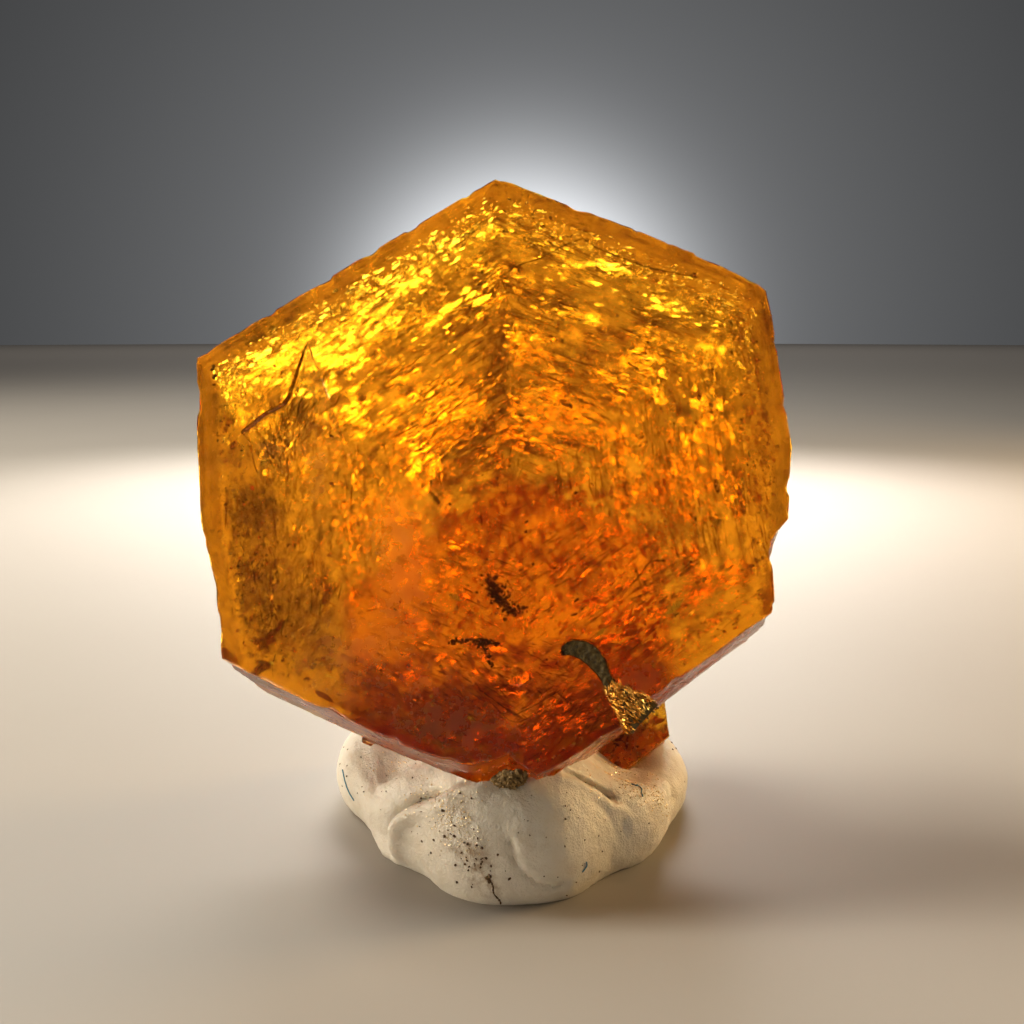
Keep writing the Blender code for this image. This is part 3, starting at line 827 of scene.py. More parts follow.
def build_inner_matrix():
    """Olive grains, dots and a needle in the lower middle, and dark branching grains in the rear crystal."""
    rng = np.random.default_rng(171)
    cs, rs = [], []

    def add(xy, depth, radius):
        xy = np.asarray(xy, float)
        p = under(xy[:, 0], xy[:, 1], depth)
        keep = inside_group(p, 0.1)
        cs.append(p[keep])
        rs.append(np.broadcast_to(radius, len(p))[keep])

    def ribbon(pts, width, count, depth, lo, hi):
        xy = fill_polyline(rng, pts, width, count)
        add(xy, depth + rng.normal(size=count) * 0.05, rng.uniform(lo, hi, count))
    ribbon([(-0.46, -3.50), (-0.30, -3.95), (0.02, -4.30), (0.30, -4.62), (0.66, -4.50)], 0.13, 150, 1.2, 0.02, 0.08)
    ribbon([(-0.30, -3.60), (-0.10, -4.00), (0.10, -4.3)], 0.16, 110, 1.2, 0.02, 0.07)
    ribbon([(-1.85, -5.48), (-1.30, -5.46), (-0.75, -5.50), (-0.21, -5.70)], 0.035, 90, 0.5, 0.025, 0.06)
    ribbon([(-0.78, -5.50), (-0.69, -5.89), (-0.53, -6.33)], 0.05, 60, 0.5, 0.02, 0.05)
    ribbon([(-1.0, -5.60), (-0.6, -5.66)], 0.07, 40, 0.5, 0.02, 0.05)
    add([(1.13, -3.13)], 0.6, 0.055)
    add([(1.24, -6.34)], 0.4, 0.06)
    add([(-9.20, 5.02), (-9.26, 4.92), (-9.15, 4.66), (-9.22, 4.60), (-9.20, 4.32)], 0.25, 0.075)
    add(rng.uniform((-9.0, -8.5), (9.0, 8.5), (170, 2)), rng.uniform(0.3, 5.5, 170), rng.uniform(0.010, 0.035, 170))
    # dark clouds hanging in the left part and low in the middle
    for x, y, rx, ry, k, dep in [(-8.6, -0.2, 0.5, 0.5, 60, 4.5), (-7.7, 0.5, 0.6, 0.3, 50, 4.8), (-6.8, 0.3, 0.4, 0.5, 40, 4.6), (4.9, -4.1, 0.35, 0.3, 40, 3.0), (4.3, -4.7, 0.4, 0.15, 30, 3.2),
                                 (2.2, -0.3, 0.9, 0.12, 60, 4.5), (3.4, 0.0, 0.6, 0.12, 40, 4.5), (0.6, -0.6, 0.4, 0.1, 40, 4.5)]:
        g = rng.normal(size=(k, 2)) * (rx, ry) * 0.6 + (x, y)
        add(g, dep + rng.normal(size=k) * 0.3, rng.uniform(0.012, 0.045, k))
    # branching growths low in the rear crystal, right side
    tips = []
    for s in range(34):
        p = np.array([rng.uniform(1.6, 5.2), rng.uniform(-8.6, -6.4), rng.uniform(-9.7, -7.2)]) if s < 14 else np.array([rng.uniform(2.3, 5.3), rng.uniform(-9.8, -7.9), rng.uniform(-7.6, -6.5)])
        d = rng.normal(size=3) * (1, 1, 0.3)
        d /= np.linalg.norm(d)
        for k in range(60):
            d = d + rng.normal(size=3) * (0.35, 0.35, 0.12)
            d /= np.linalg.norm(d)
            p = p + d * 0.055
            tips.append((*p, rng.uniform(0.02, 0.06)))
            if rng.random() < 0.12:
                d = rng.normal(size=3) * (1, 1, 0.3)
                d /= np.linalg.norm(d)
    tips = np.array(tips)
    keep = inside_group(tips[:, :3], 0.08)
    cs.append(tips[keep, :3])
    rs.append(tips[keep, 3])
    v, f = grains(np.vstack(cs), np.concatenate(rs), 172)
    o = make_object("inner_matrix", v, tris=f)
    return o


def build_cracks():
    """Thin dark healed cracks and the needle: narrow blades along short paths."""
    rng = np.random.default_rng(191)
    paths = [  # points in face coordinates, depth, width
        ([(-2.2, 0.0), (-2.02, -0.35), (-1.76, -0.76)], 2.0, 0.14), ([(-2.15, -0.1), (-1.9, -0.2), (-1.7, -0.5)], 2.1, 0.06),
        ([(-0.63, -3.16), (-0.45, -2.95), (-0.28, -2.90), (0.0, -2.78)], 1.0, 0.02),
        ([(1.77, -3.97), (2.29, -3.75)], 1.4, 0.035),
        ([(1.08, 7.58), (1.8, 8.0), (2.59, 8.21), (3.5, 8.65), (4.24, 8.89)], 0.8, 0.035),
        ([(4.24, 8.89), (4.7, 8.45), (5.59, 7.94), (6.3, 7.55), (6.86, 7.33), (8.15, 6.92)], 0.8, 0.05),
        ([(3.51, -4.58), (3.8, -4.35), (4.07, -4.13)], 1.8, 0.05), ([(4.3, -4.1), (4.61, -3.84), (5.0, -3.44), (5.5, -3.42)], 1.8, 0.06),
        ([(4.2, -4.6), (5.03, -4.39)], 1.8, 0.05), ([(4.5, -3.6), (4.6, -4.3)], 2.0, 0.04), ([(5.1, -3.0), (5.05, -3.7)], 2.0, 0.04),
        ([(-0.99, -7.09), (-0.4, -7.6), (0.04, -7.98)], 0.5, 0.03), ([(0.04, -7.98), (0.8, -7.7), (1.55, -7.34)], 0.5, 0.03),
        ([(-0.7, -7.5), (0.0, -8.2), (0.9, -7.9)], 0.6, 0.025),
    ]
    cs, dirs, nrm, ln, wd = [], [], [], [], []
    for pts, depth, width in paths:
        line = catmull(np.column_stack([np.array(pts), np.zeros(len(pts))]), 5)[:, :2]
        p = under(line[:, 0], line[:, 1], np.full(len(line), depth))
        mid, d = (p[1:] + p[:-1]) / 2, np.diff(p, axis=0)
        cs.append(mid)
        dirs.append(d)
        nrm.append(np.tile([0.1, -0.35, 0.93], (len(mid), 1)) + rng.normal(size=(len(mid), 3)) * 0.1)
        ln.append(np.linalg.norm(d, axis=1) * 1.7)
        wd.append(np.full(len(mid), width) * rng.uniform(0.6, 1.3, len(mid)))
    c, d, nn = np.vstack(cs), np.vstack(dirs), np.vstack(nrm)
    nn /= np.linalg.norm(nn, axis=1)[:, None]
    v, f = blades(c, d, nn, np.concatenate(ln), np.concatenate(wd), np.concatenate(wd) * 0.3, rng, 0.3)
    return make_object("inner_cracks", v, tris=f)


# ------------------------------------------------------------------ matrix pieces
def build_vein():
    line, side, tan = groove_stations(0.22)
    s = np.arange(len(line))
    gap = 0.015
    half = np.maximum(line[:, 2] * 0.90 - gap, 0.05)
    th = np.linspace(0, math.pi, 10)
    across = np.linspace(-1, 1, 13)[1:-1]
    rows = []
    for k in range(len(line)):
        a = np.cos(th) * half[k]
        b = -(GROOVE_DEPTH - 0.09) * np.sin(th) ** 0.8 - 0.07
        low = np.column_stack([line[k, :2] + side[k] * a[:, None], b])
        xy = line[k, :2] + side[k] * (across * half[k])[:, None]
        z = -0.06 + 0.09 * (fbm2(xy[:, 0] / 0.16, xy[:, 1] / 0.16, 501, 3) - 0.5) + 0.02 * (1 - across ** 2)
        rows.append(np.vstack([low, np.column_stack([xy, z])]))
    v = np.vstack(rows)
    quads, caps = tube_faces(len(rows), rows[0].shape[0])
    rng = np.random.default_rng(503)
    n = 1500
    k = rng.integers(0, len(line), n)
    a = rng.uniform(-0.92, 0.92, n)
    xy = line[k, :2] + side[k] * (a * half[k])[:, None] + tan[k] * rng.normal(size=(n, 1)) * 0.04
    r = rng.uniform(0.012, 0.045, n)
    z = -0.075 + 0.06 * (fbm2(xy[:, 0] / 0.16, xy[:, 1] / 0.16, 501, 3) - 0.5)
    gv, gf = grains(np.column_stack([xy, z]), r, 504)
    tri = np.vstack([caps, gf + len(v)])
    return make_object("vein_grains", np.vstack([v, gv]), quads, tri)


def build_wires():
    """Golden striae of the broken edge, along the lower part of the groove."""
    rng = np.random.default_rng(541)
    line, side, tan = groove_stations(0.1)
    n = 620
    f = 0.70 + 0.30 * rng.random(n) ** 0.8
    k = np.clip((f * (len(line) - 1)).astype(int), 0, len(line) - 1)
    a = rng.uniform(-1.02, 1.02, n)
    xy = line[k, :2] + side[k] * (a * line[k, 2])[:, None]
    c = np.column_stack([xy, -0.015 - 0.05 * rng.random(n)])
    along = np.column_stack([tan[k], rng.normal(size=n) * 0.05])
    turn = rng.normal(size=n) * 0.16
    d = along + np.column_stack([side[k] * np.tan(turn)[:, None], np.zeros(n)])
    nrm = np.column_stack([side[k] * rng.normal(size=(n, 1)) * 0.5, np.ones(n)])
    to_eye, to_key = to_crystal(CAMERA_AT) - c, to_crystal(KEY_AT) - c
    half = to_eye / np.linalg.norm(to_eye, axis=1)[:, None] + to_key / np.linalg.norm(to_key, axis=1)[:, None]
    half = half / np.linalg.norm(half, axis=1)[:, None] + rng.normal(size=(n, 3)) * 0.16
    nrm = np.where((rng.random(n) < 0.6)[:, None], half, nrm)
    nrm /= np.linalg.norm(nrm, axis=1)[:, None]
    length = rng.uniform(0.12, 0.55, n)
    width = rng.uniform(0.012, 0.045, n)
    v, t = blades(c, d, nrm, length, width, width * 0.8, rng, 0.4)
    return make_object("edge_striae", v, tris=t)


CRUMB_AT, CRUMB_SIZE = np.array([-0.30, -9.86, -0.42]), np.array([0.78, 0.34, 0.44])


def build_crumb():
    rng = np.random.default_rng(521)
    n = 900
    d = rng.normal(size=(n, 3))
    d /= np.linalg.norm(d, axis=1)[:, None]
    p = CRUMB_AT + d * CRUMB_SIZE * (0.74, 0.9, 0.95) * (rng.random(n) ** (1 / 3.0) * 0.95)[:, None]
    extra = [(np.array([0.03, -0.946, 0.325]), 9.12), (np.array([FACE_DIRS[4][0], FACE_DIRS[4][1], 0]), 9.23), (np.array([FACE_DIRS[5][0], FACE_DIRS[5][1], 0]), 9.10)]
    worst = np.max(np.stack([p @ a - b for a, b in extra], -1), -1)
    keep = worst > 0.01
    p = p[keep]
    r = rng.uniform(0.03, 0.11, len(p))
    v, f = grains(p, r, 522)
    return make_object("crumb_grains", v, tris=f)


# ------------------------------------------------------------------ putty
PUTTY_LUMPS = [
    (0.75, -4.98, 1.50, 3.10, 3.20, 2.90, 2.4), (-1.80, -2.90, 1.30, 2.70, 3.00, 2.40, 2.2), (3.35, -3.10, 1.40, 2.90, 3.00, 2.40, 2.2),
    (-3.05, 0.70, 1.20, 3.05, 3.70, 2.15, 2.2), (4.55, 0.30, 0.95, 2.95, 3.60, 1.75, 2.2), (0.75, 2.20, 0.60, 4.60, 3.40, 1.00, 2.3)]
PUTTY_HEART = np.array([0.70, -1.30, 0.60])
PUTTY_BLEND = 0.17
CREASES = [  # points (frame, mm), depth, width
    ([(-4.96, -1.01, 2.63), (-4.62, -1.94, 2.43), (-4.23, -3.26, 2.42), (-3.9, -4.3, 2.1)], 0.10, 0.30),
    ([(5.9, -2.2, 2.9), (6.14, -2.29, 2.27), (6.36, -2.33, 1.83), (6.46, -2.71, 1.42), (6.16, -3.84, 1.0)], 0.16, 0.20),
    ([(-2.6, -6.3, 1.9), (-2.0, -6.9, 1.4), (-1.3, -7.3, 0.8)], 0.05, 0.22),
    ([(-6.0, 1.0, 1.9), (-5.2, 3.0, 2.6), (-3.2, 4.4, 2.7)], 0.20, 0.22),
    ([(0.2, 5.6, 0.6), (0.6, 5.3, 2.0), (1.2, 4.2, 3.0)], 0.24, 0.20),
    ([(3.8, 4.6, 0.8), (4.9, 3.4, 2.0), (5.2, 1.8, 2.6)], 0.20, 0.20),
    ([(7.2, 0.5, 1.0), (6.6, 1.6, 1.8), (6.4, 0.2, 2.5)], 0.14, 0.16),
]
FOLDS = [  # points, depth and width of the valley, drop of the lower side and its reach, lip, which side is the lower (as seen from the front)
    ([(-0.6, -6.75, 3.9), (-1.12, -6.52, 3.66), (-1.42, -6.48, 3.43), (-1.75, -6.35, 3.14), (-2.18, -5.85, 2.74), (-2.59, -5.57, 2.51), (-2.99, -5.45, 2.24), (-3.34, -5.35, 1.94),
      (-3.50, -5.28, 1.55), (-3.45, -5.2, 0.9), (-3.40, -5.2, 0.0)], 0.42, 0.17, 0.55, 1.25, 0.20, -1),
    ([(2.45, -6.35, 3.95), (2.85, -6.15, 3.67), (3.08, -6.11, 3.51), (3.47, -5.83, 3.15), (3.97, -5.75, 2.76)], 0.30, 0.13, 0.20, 0.50, 0.10, 1),
    ([(0.66, -8.08, 2.3), (0.71, -8.1, 2.1), (0.83, -8.15, 1.62), (1.14, -8.14, 1.21), (1.52, -8.06, 0.87), (2.03, -7.88, 0.63), (2.41, -7.71, 0.66)], 0.22, 0.09, 0.06, 0.60, 0.0, -1),
]
DENTS = [(-3.3, -2.8, 3.1, 1.25, 1.15), (4.3, -3.1, 3.3, 1.60, 1.40), (4.7, -1.4, 2.6, 1.25, 0.95), (-2.2, 4.2, 2.5, 2.1, 1.3), (3.0, 3.9, 2.2, 1.8, 0.9)]      # pressed down: place, radius, depth


def putty_value(p):
    total = 0
    for x, y, z, rx, ry, rz, e in PUTTY_LUMPS:
        v = (np.abs((p[..., 0] - x) / rx) ** e + np.abs((p[..., 1] - y) / ry) ** e + np.abs((p[..., 2] - z) / rz) ** e) ** (1.0 / e) + 0.03
        total = total + np.exp(-(v - 1.0) / PUTTY_BLEND)
    return -PUTTY_BLEND * np.log(total)


def path_distance(p, pts):
    """Distance to a path, and on which side of it the point lies as seen from the front."""
    best = np.full(len(p), 1e9)
    side = np.zeros(len(p))
    pts = np.asarray(pts, float)
    for a, b in zip(pts[:-1], pts[1:]):
        ab = b - a
        t = np.clip(((p - a) @ ab) / (ab @ ab), 0, 1)
        w = np.linalg.norm(p - a - t[:, None] * ab, axis=1)
        cross = ab[0] * (p[:, 2] - a[2]) - ab[2] * (p[:, 0] - a[0])
        side = np.where(w < best, cross / np.hypot(ab[0], ab[2]), side)
        best = np.minimum(best, w)
    return best, side


def build_putty():
    bm = bmesh.new()
    bmesh.ops.create_icosphere(bm, subdivisions=7, radius=1.0)
    bm.verts.index_update()
    d = np.array([tuple(x.co) for x in bm.verts])
    tris = np.array([[x.index for x in f.verts] for f in bm.faces])
    bm.free()
    d /= np.linalg.norm(d, axis=1)[:, None]
    low, high = np.full(len(d), 0.2), np.full(len(d), 14.0)
    for _ in range(30):
        mid = 0.5 * (low + high)
        out = putty_value(PUTTY_HEART + d * mid[:, None]) > 0
        high, low = np.where(out, mid, high), np.where(out, low, mid)
    p = PUTTY_HEART + d * low[:, None]
    move = np.zeros(len(p))
    for pts, deep, width in CREASES:
        w, _ = path_distance(p, pts)
        w = w + 0.3 * width * (fbm3(p[:, 0] * 3, p[:, 1] * 3, p[:, 2] * 3, 611) - 0.5)
        move -= deep * np.exp(-(w / width) ** 2)
    for pts, deep, width, drop, reach, lip, low in FOLDS:
        w, side = path_distance(p, pts)
        face = smooth(3.0, 0.5, p[:, 1] + 3.5) * smooth(0.05, 0.8, p[:, 2])       # folds lie on the front half only and fade toward the floor
        down = smooth(-0.06, 0.10, side * low)
        wob = w + 0.05 * (fbm3(p[:, 0] * 3, p[:, 1] * 3, p[:, 2] * 3, 612) - 0.5)
        move -= face * deep * np.exp(-(wob / width) ** 2)
        move -= face * down * drop * np.exp(-w / reach)
        move += face * (1 - down) * lip * np.exp(-((w - 2.2 * width) / (2.0 * width)) ** 2)
    dent = np.zeros(len(p))
    for x, y, z, r, deep in DENTS:
        dent += deep * np.exp(-(((p - (x, y, z)) ** 2).sum(1)) / r ** 2)
    skin = 0.16 * (fbm3(p[:, 0] / 1.7, p[:, 1] / 1.7, p[:, 2] / 1.7, 601, 3) - 0.5)
    skin += 0.10 * (fbm3(p[:, 0] / 0.6, p[:, 1] / 0.6, p[:, 2] / 0.6, 602, 3) - 0.5)
    # fine stretch wrinkles, their direction drifting over the surface
    turn = 2.2 * fbm3(p[:, 0] / 3, p[:, 1] / 3, p[:, 2] / 3, 603, 2)
    across = p[:, 0] * np.cos(turn) + p[:, 2] * np.sin(turn) + 0.4 * p[:, 1]
    along = -p[:, 0] * np.sin(turn) + p[:, 2] * np.cos(turn)
    skin += 0.050 * (noise3(across / 0.16, along / 0.7, p[:, 1] / 0.7, 604) - 0.5) * smooth(0.4, 0.65, fbm3(p[:, 0] / 1.2, p[:, 1] / 1.2, p[:, 2] / 1.2, 605, 2))
    pits = smooth(0.80, 0.93, noise3(p[:, 0] / 0.22, p[:, 1] / 0.22, p[:, 2] / 0.22, 606))
    skin -= 0.035 * pits
    p = p + d * (move + skin)[:, None]
    p[:, 2] = np.maximum(p[:, 2] - dent, 0.0)
    # the putty, with the seats of both crystals above the foot cut out of it
    o = make_object("putty", p, tris=tris, frame_space=True)
    main = solid_from_planes("seat_main", [((*FACE_DIRS[k], 0), v) for k, v in enumerate((10.60, 10.93, 9.63, 9.85, 9.27, 9.14))] + [
        ((0.03, -0.946, 0.325), 9.15), ((0, 0, 1), 0.03), ((0, 0, -1), MAIN_THICKNESS + 0.03)])
    rear = solid_from_planes("seat_rear", [((*FACE_DIRS[k], 0), v) for k, v in enumerate((5.93, 1.38, 0.43, 5.58, 9.43, 10.48))] + [
        ((0.42, -0.70, -0.58), 14.34), ((0, 0, 1), -REAR_FRONT), ((0, 0, -1), REAR_BACK + 0.03)])
    foot = solid_from_planes("seat_foot", [((0, 0, 1), 30), ((0, 0, -1), -(FOOT_Z - 0.03)), ((1, 0, 0), 20), ((-1, 0, 0), 20), ((0, 1, 0), 20), ((0, -1, 0), 20)], True)
    foot2 = foot.copy()
    foot2.data = foot.data.copy()
    bpy.context.scene.collection.objects.link(foot2)
    main = combine(main, [(foot, "INTERSECT")], "seat_main")
    rear = combine(rear, [(foot2, "INTERSECT")], "seat_rear")
    o = combine(o, [(main, "DIFFERENCE"), (rear, "DIFFERENCE")], "putty")
    smooth_by_angle(o, 50)
    q = mesh_coords(o)
    wet = np.zeros(len(q))
    for x, y, z, r, k in [(5.4, -4.6, 2.6, 0.9, 1.0), (5.0, -4.9, 2.9, 0.6, 1.0), (6.2, -3.4, 2.0, 0.9, 0.7), (-1.3, -7.0, 2.9, 0.8, 0.8), (-1.0, -7.5, 2.5, 0.5, 0.7),
                          (-4.4, -2.4, 2.8, 0.8, 0.6), (-5.0, -0.8, 2.8, 0.7, 0.6), (3.4, -5.8, 3.4, 0.6, 0.6)]:
        wet += k * np.exp(-(((q - (x, y, z)) ** 2).sum(1)) / r ** 2)
    dirt = np.zeros(len(q))
    for x, y, z, r, k in [(-0.3, -8.0, 1.2, 0.55, 1.0), (-1.2, -7.5, 2.3, 0.8, 0.5), (-0.7, -7.9, 1.8, 0.5, 0.8), (0.1, -8.1, 0.6, 0.35, 1.0), (-5.3, -1.5, 2.2, 0.5, 0.5), (-0.9, -7.2, 3.2, 0.5, 0.4), (-2.4, -5.9, 2.5, 0.4, 0.5)]:
        dirt += k * np.exp(-(((q - (x, y, z)) ** 2).sum(1)) / r ** 2)
    for key, val in (("wet", wet), ("dirt", dirt)):
        a = o.data.attributes.new(key, "FLOAT", "POINT")
        a.data.foreach_set("value", np.clip(val, 0, 1).astype(np.float32))
    return o


def surface_hits(o, targets, away=PUTTY_HEART):
    """Drop points (frame, mm) onto an object's surface from outside; gives place and normal."""
    out = []
    for p in targets:
        p = np.asarray(p, float)
        d = away + np.array([0, 0, 0.6]) - p
        d /= np.linalg.norm(d)
        hit, loc, nor, _ = o.ray_cast(Vector((p - d * 4.0) * MM), Vector(d))
        if hit:
            out.append((np.array(loc) / MM, np.array(nor)))
    return out


def build_putty_specks(putty):
    """Brown grains stuck in the putty's skin."""
    rng = np.random.default_rng(641)
    targets, radii = [], []

    def near(x, y, z, spread, count, lo, hi):
        for _ in range(count):
            targets.append(np.array([x, y, z]) + rng.normal(size=3) * spread)
            radii.append(rng.uniform(lo, hi))
    near(-0.55, -7.9, 1.6, 0.40, 34, 0.018, 0.055)
    near(-1.3, -7.4, 2.6, 0.40, 20, 0.018, 0.060)
    near(-2.1, -6.6, 1.9, 0.50, 12, 0.015, 0.050)
    near(-0.05, -8.1, 1.05, 0.06, 7, 0.04, 0.085)
    near(1.5, -8.0, 1.8, 1.1, 22, 0.012, 0.035)
    near(3.2, -6.9, 2.2, 0.9, 16, 0.012, 0.038)
    near(-4.8, -1.8, 2.2, 0.9, 16, 0.015, 0.045)
    near(-3.2, -4.6, 2.6, 0.7, 10, 0.015, 0.040)
    near(1.0, 5.2, 1.8, 1.8, 30, 0.015, 0.050)
    near(6.0, 1.0, 1.6, 1.6, 20, 0.015, 0.045)
    near(-5.0, 3.0, 1.6, 1.4, 20, 0.015, 0.045)
    cs, rs = [], []
    for p, r in zip(targets, radii):
        for loc, nor in surface_hits(putty, [p]):
            if loc[2] > 0.08:
                cs.append(loc + nor * r * 0.15)
                rs.append(r)
    # the thin brown trickle below the biggest grain
    for f in np.linspace(0, 1, 26):
        p = np.array([0.0 + 0.33 * f + 0.04 * math.sin(9 * f), -8.07 + 0.2 * f * f, 1.0 - 0.92 * f])
        for loc, nor in surface_hits(putty, [p]):
            cs.append(loc + nor * 0.004)
            rs.append(0.022 + 0.018 * _hash(np.array([int(f * 100)]), np.array([3]), np.array([1]), 9)[0])
    v, f = grains(np.array(cs), np.array(rs), 642)
    return make_object("putty_specks", v, tris=f, frame_space=True)


def build_putty_glints(putty):
    """Crystal dust glittering in the putty's skin."""
    rng = np.random.default_rng(651)
    cs, rs = [], []
    for x, y, z, spread, count in [(-1.3, -7.0, 2.9, 0.42, 190), (-0.8, -7.6, 2.3, 0.35, 90), (5.0, -4.83, 2.92, 0.40, 190), (5.76, -4.6, 2.1, 0.35, 120), (6.1, -2.4, 2.5, 0.35, 80),
                                   (-2.7, -5.7, 2.6, 0.30, 50), (-4.4, -2.4, 2.9, 0.45, 80), (3.3, -5.9, 3.2, 0.25, 30), (-5.0, 2.0, 2.4, 0.7, 60), (2.0, 4.6, 2.4, 0.8, 60)]:
        for q in np.array([x, y, z]) + rng.normal(size=(count, 3)) * spread:
            r = rng.uniform(0.010, 0.034)
            for loc, nor in surface_hits(putty, [q]):
                if loc[2] > 0.1:
                    cs.append(loc + nor * r * 0.1)
                    rs.append(r)
    v, f = grains(np.array(cs), np.array(rs), 652)
    return make_object("putty_glints", v, tris=f, frame_space=True)


def build_fibres(putty):
    """Fine blue textile fibres caught on the putty."""
    rng = np.random.default_rng(661)
    paths = [[(5.24, -4.80, 2.73), (5.30, -4.95, 2.63), (5.18, -5.05, 2.55), (5.14, -5.12, 2.45)], [(5.0, -4.9, 2.8), (5.15, -4.9, 2.74), (5.28, -4.85, 2.7)],
             [(-5.75, -1.2, 1.75), (-5.55, -1.8, 1.35), (-5.25, -2.3, 1.0)], [(2.9, -7.3, 0.95), (3.05, -7.2, 1.1), (3.0, -7.15, 1.25)]]
    vs, fs, n0 = [], [], 0
    for pts in paths:
        line = catmull(pts, 6)
        on = [h for p in line for h in surface_hits(putty, [p])]
        if len(on) < 4:
            continue
        c = np.array([h[0] + h[1] * 0.018 for h in on])
        nor = np.array([h[1] for h in on])
        tan = np.gradient(c, axis=0)
        tan /= np.linalg.norm(tan, axis=1)[:, None]
        side = np.cross(nor, tan)
        side /= np.linalg.norm(side, axis=1)[:, None]
        up = np.cross(tan, side)
        a = np.linspace(0, 2 * math.pi, 7)[:-1]
        ring = c[:, None] + 0.022 * (np.cos(a)[None, :, None] * side[:, None] + np.sin(a)[None, :, None] * up[:, None])
        q, caps = tube_faces(len(c), 6)
        vs.append(ring.reshape(-1, 3))
        fs.append(np.vstack([q[:, [0, 1, 2]], q[:, [0, 2, 3]], caps]) + n0)
        n0 += len(vs[-1])
    return make_object("putty_fibres", np.vstack(vs), tris=np.vstack(fs), frame_space=True)


# ------------------------------------------------------------------ materials
class Nodes:
    """Small helper for building a node tree."""

    def __init__(self, name):
        self.mat = bpy.data.materials.new(name)
        self.mat.use_nodes = True
        self.nt = self.mat.node_tree
        self.nt.nodes.clear()
        self.out = self.add("ShaderNodeOutputMaterial")
        self.bsdf = self.add("ShaderNodeBsdfPrincipled")
        self.link(self.bsdf.outputs[0], self.out.inputs["Surface"])
        self.place = self.add("ShaderNodeTexCoord").outputs["Object"]

    def add(self, kind, **settings):
        n = self.nt.nodes.new(kind)
        for k, v in settings.items():
            setattr(n, k, v)
        return n

    def link(self, a, b):
        self.nt.links.new(a, b)

    def set(self, **values):
        for k, v in values.items():
            self.bsdf.inputs[k.replace("_", " ")].default_value = v

    def noise(self, scale, detail=3.0, rough=0.55, stretch=None):
        n = self.add("ShaderNodeTexNoise")
        n.inputs["Scale"].default_value = scale
        n.inputs["Detail"].default_value = detail
        n.inputs["Roughness"].default_value = rough
        if stretch:
            m = self.add("ShaderNodeMapping")
            m.inputs["Scale"].default_value = stretch
            self.link(self.place, m.inputs["Vector"])
            self.link(m.outputs[0], n.inputs["Vector"])
        else:
            self.link(self.place, n.inputs["Vector"])
        return n.outputs["Fac"]

    def attribute(self, name):
        return self.add("ShaderNodeAttribute", attribute_name=name).outputs["Fac"]

    def remap(self, value, a, b, lo, hi):
        n = self.add("ShaderNodeMapRange")
        for key, v in (("From Min", a), ("From Max", b), ("To Min", lo), ("To Max", hi)):
            n.inputs[key].default_value = v
        self.link(value, n.inputs["Value"])
        return n.outputs[0]

    def math(self, op, a, b):
        n = self.add("ShaderNodeMath", operation=op)
        for k, v in enumerate((a, b)):
            if isinstance(v, (int, float)):
                n.inputs[k].default_value = v
            else:
                self.link(v, n.inputs[k])
        return n.outputs[0]

    def ramp(self, value, stops):
        n = self.add("ShaderNodeValToRGB")
        el = n.color_ramp.elements
        while len(el) > 1:
            el.remove(el[-1])
        el[0].position, el[0].color = stops[0][0], (*stops[0][1], 1)
        for pos, col in stops[1:]:
            e = el.new(pos)
            e.color = (*col, 1)
        self.link(value, n.inputs["Fac"])
        return n.outputs["Color"]

    def mix(self, fac, a, b):
        n = self.add("ShaderNodeMix", data_type="RGBA")
        if isinstance(fac, (int, float)):
            n.inputs[0].default_value = fac
        else:
            self.link(fac, n.inputs[0])
        for key, v in ((6, a), (7, b)):
            if isinstance(v, tuple):
                n.inputs[key].default_value = (*v, 1)
            else:
                self.link(v, n.inputs[key])
        return n.outputs[2]

    def bump(self, height, strength, distance):
        n = self.add("ShaderNodeBump")
        n.inputs["Strength"].default_value = strength
        n.inputs["Distance"].default_value = distance
        self.link(height, n.inputs["Height"])
        self.link(n.outputs[0], self.bsdf.inputs["Normal"])


def crystal_material():
    m = Nodes("mimetite_clear")
    m.set(IOR=INDEX, Transmission_Weight=1.0)
    m.link(m.mix(m.noise(900, 4), (1.0, 0.70, 0.07), (1.0, 0.77, 0.11)), m.bsdf.inputs["Base Color"])
    va = m.add("ShaderNodeVolumeAbsorption")
    va.inputs["Color"].default_value = (0.985, 0.730, 0.150, 1)
    va.inputs["Density"].default_value = 430.0
    m.link(va.outputs[0], m.out.inputs["Volume"])
    frost = m.attribute("frost")
    cloud = m.remap(m.noise(2600, 4, 0.65), 0.35, 0.65, 0.75, 1.25)
    m.link(m.math("MULTIPLY", m.remap(frost, 0, 1, 0.0, 0.62), cloud), m.bsdf.inputs["Roughness"])
    m.bump(m.noise(7000, 3, 0.6), 0.25, 0.00001)
    return m.mat


def gleam_material():
    m = Nodes("gleam_gold")
    m.set(Metallic=1.0)
    m.link(m.ramp(m.noise(1500, 2), [(0.35, (1.0, 0.92, 0.50)), (0.65, (1.0, 1.0, 0.75))]), m.bsdf.inputs["Base Color"])
    m.link(m.remap(m.noise(5000, 2), 0.3, 0.7, 0.20, 0.34), m.bsdf.inputs["Roughness"])
    return m.mat


def glint_material():
    m = Nodes("glint_gold")
    m.set(Metallic=1.0)
    m.link(m.ramp(m.noise(1500, 2), [(0.35, (1.0, 0.80, 0.45)), (0.65, (1.0, 0.93, 0.75))]), m.bsdf.inputs["Base Color"])
    m.link(m.remap(m.noise(5000, 2), 0.3, 0.7, 0.28, 0.42), m.bsdf.inputs["Roughness"])
    return m.mat


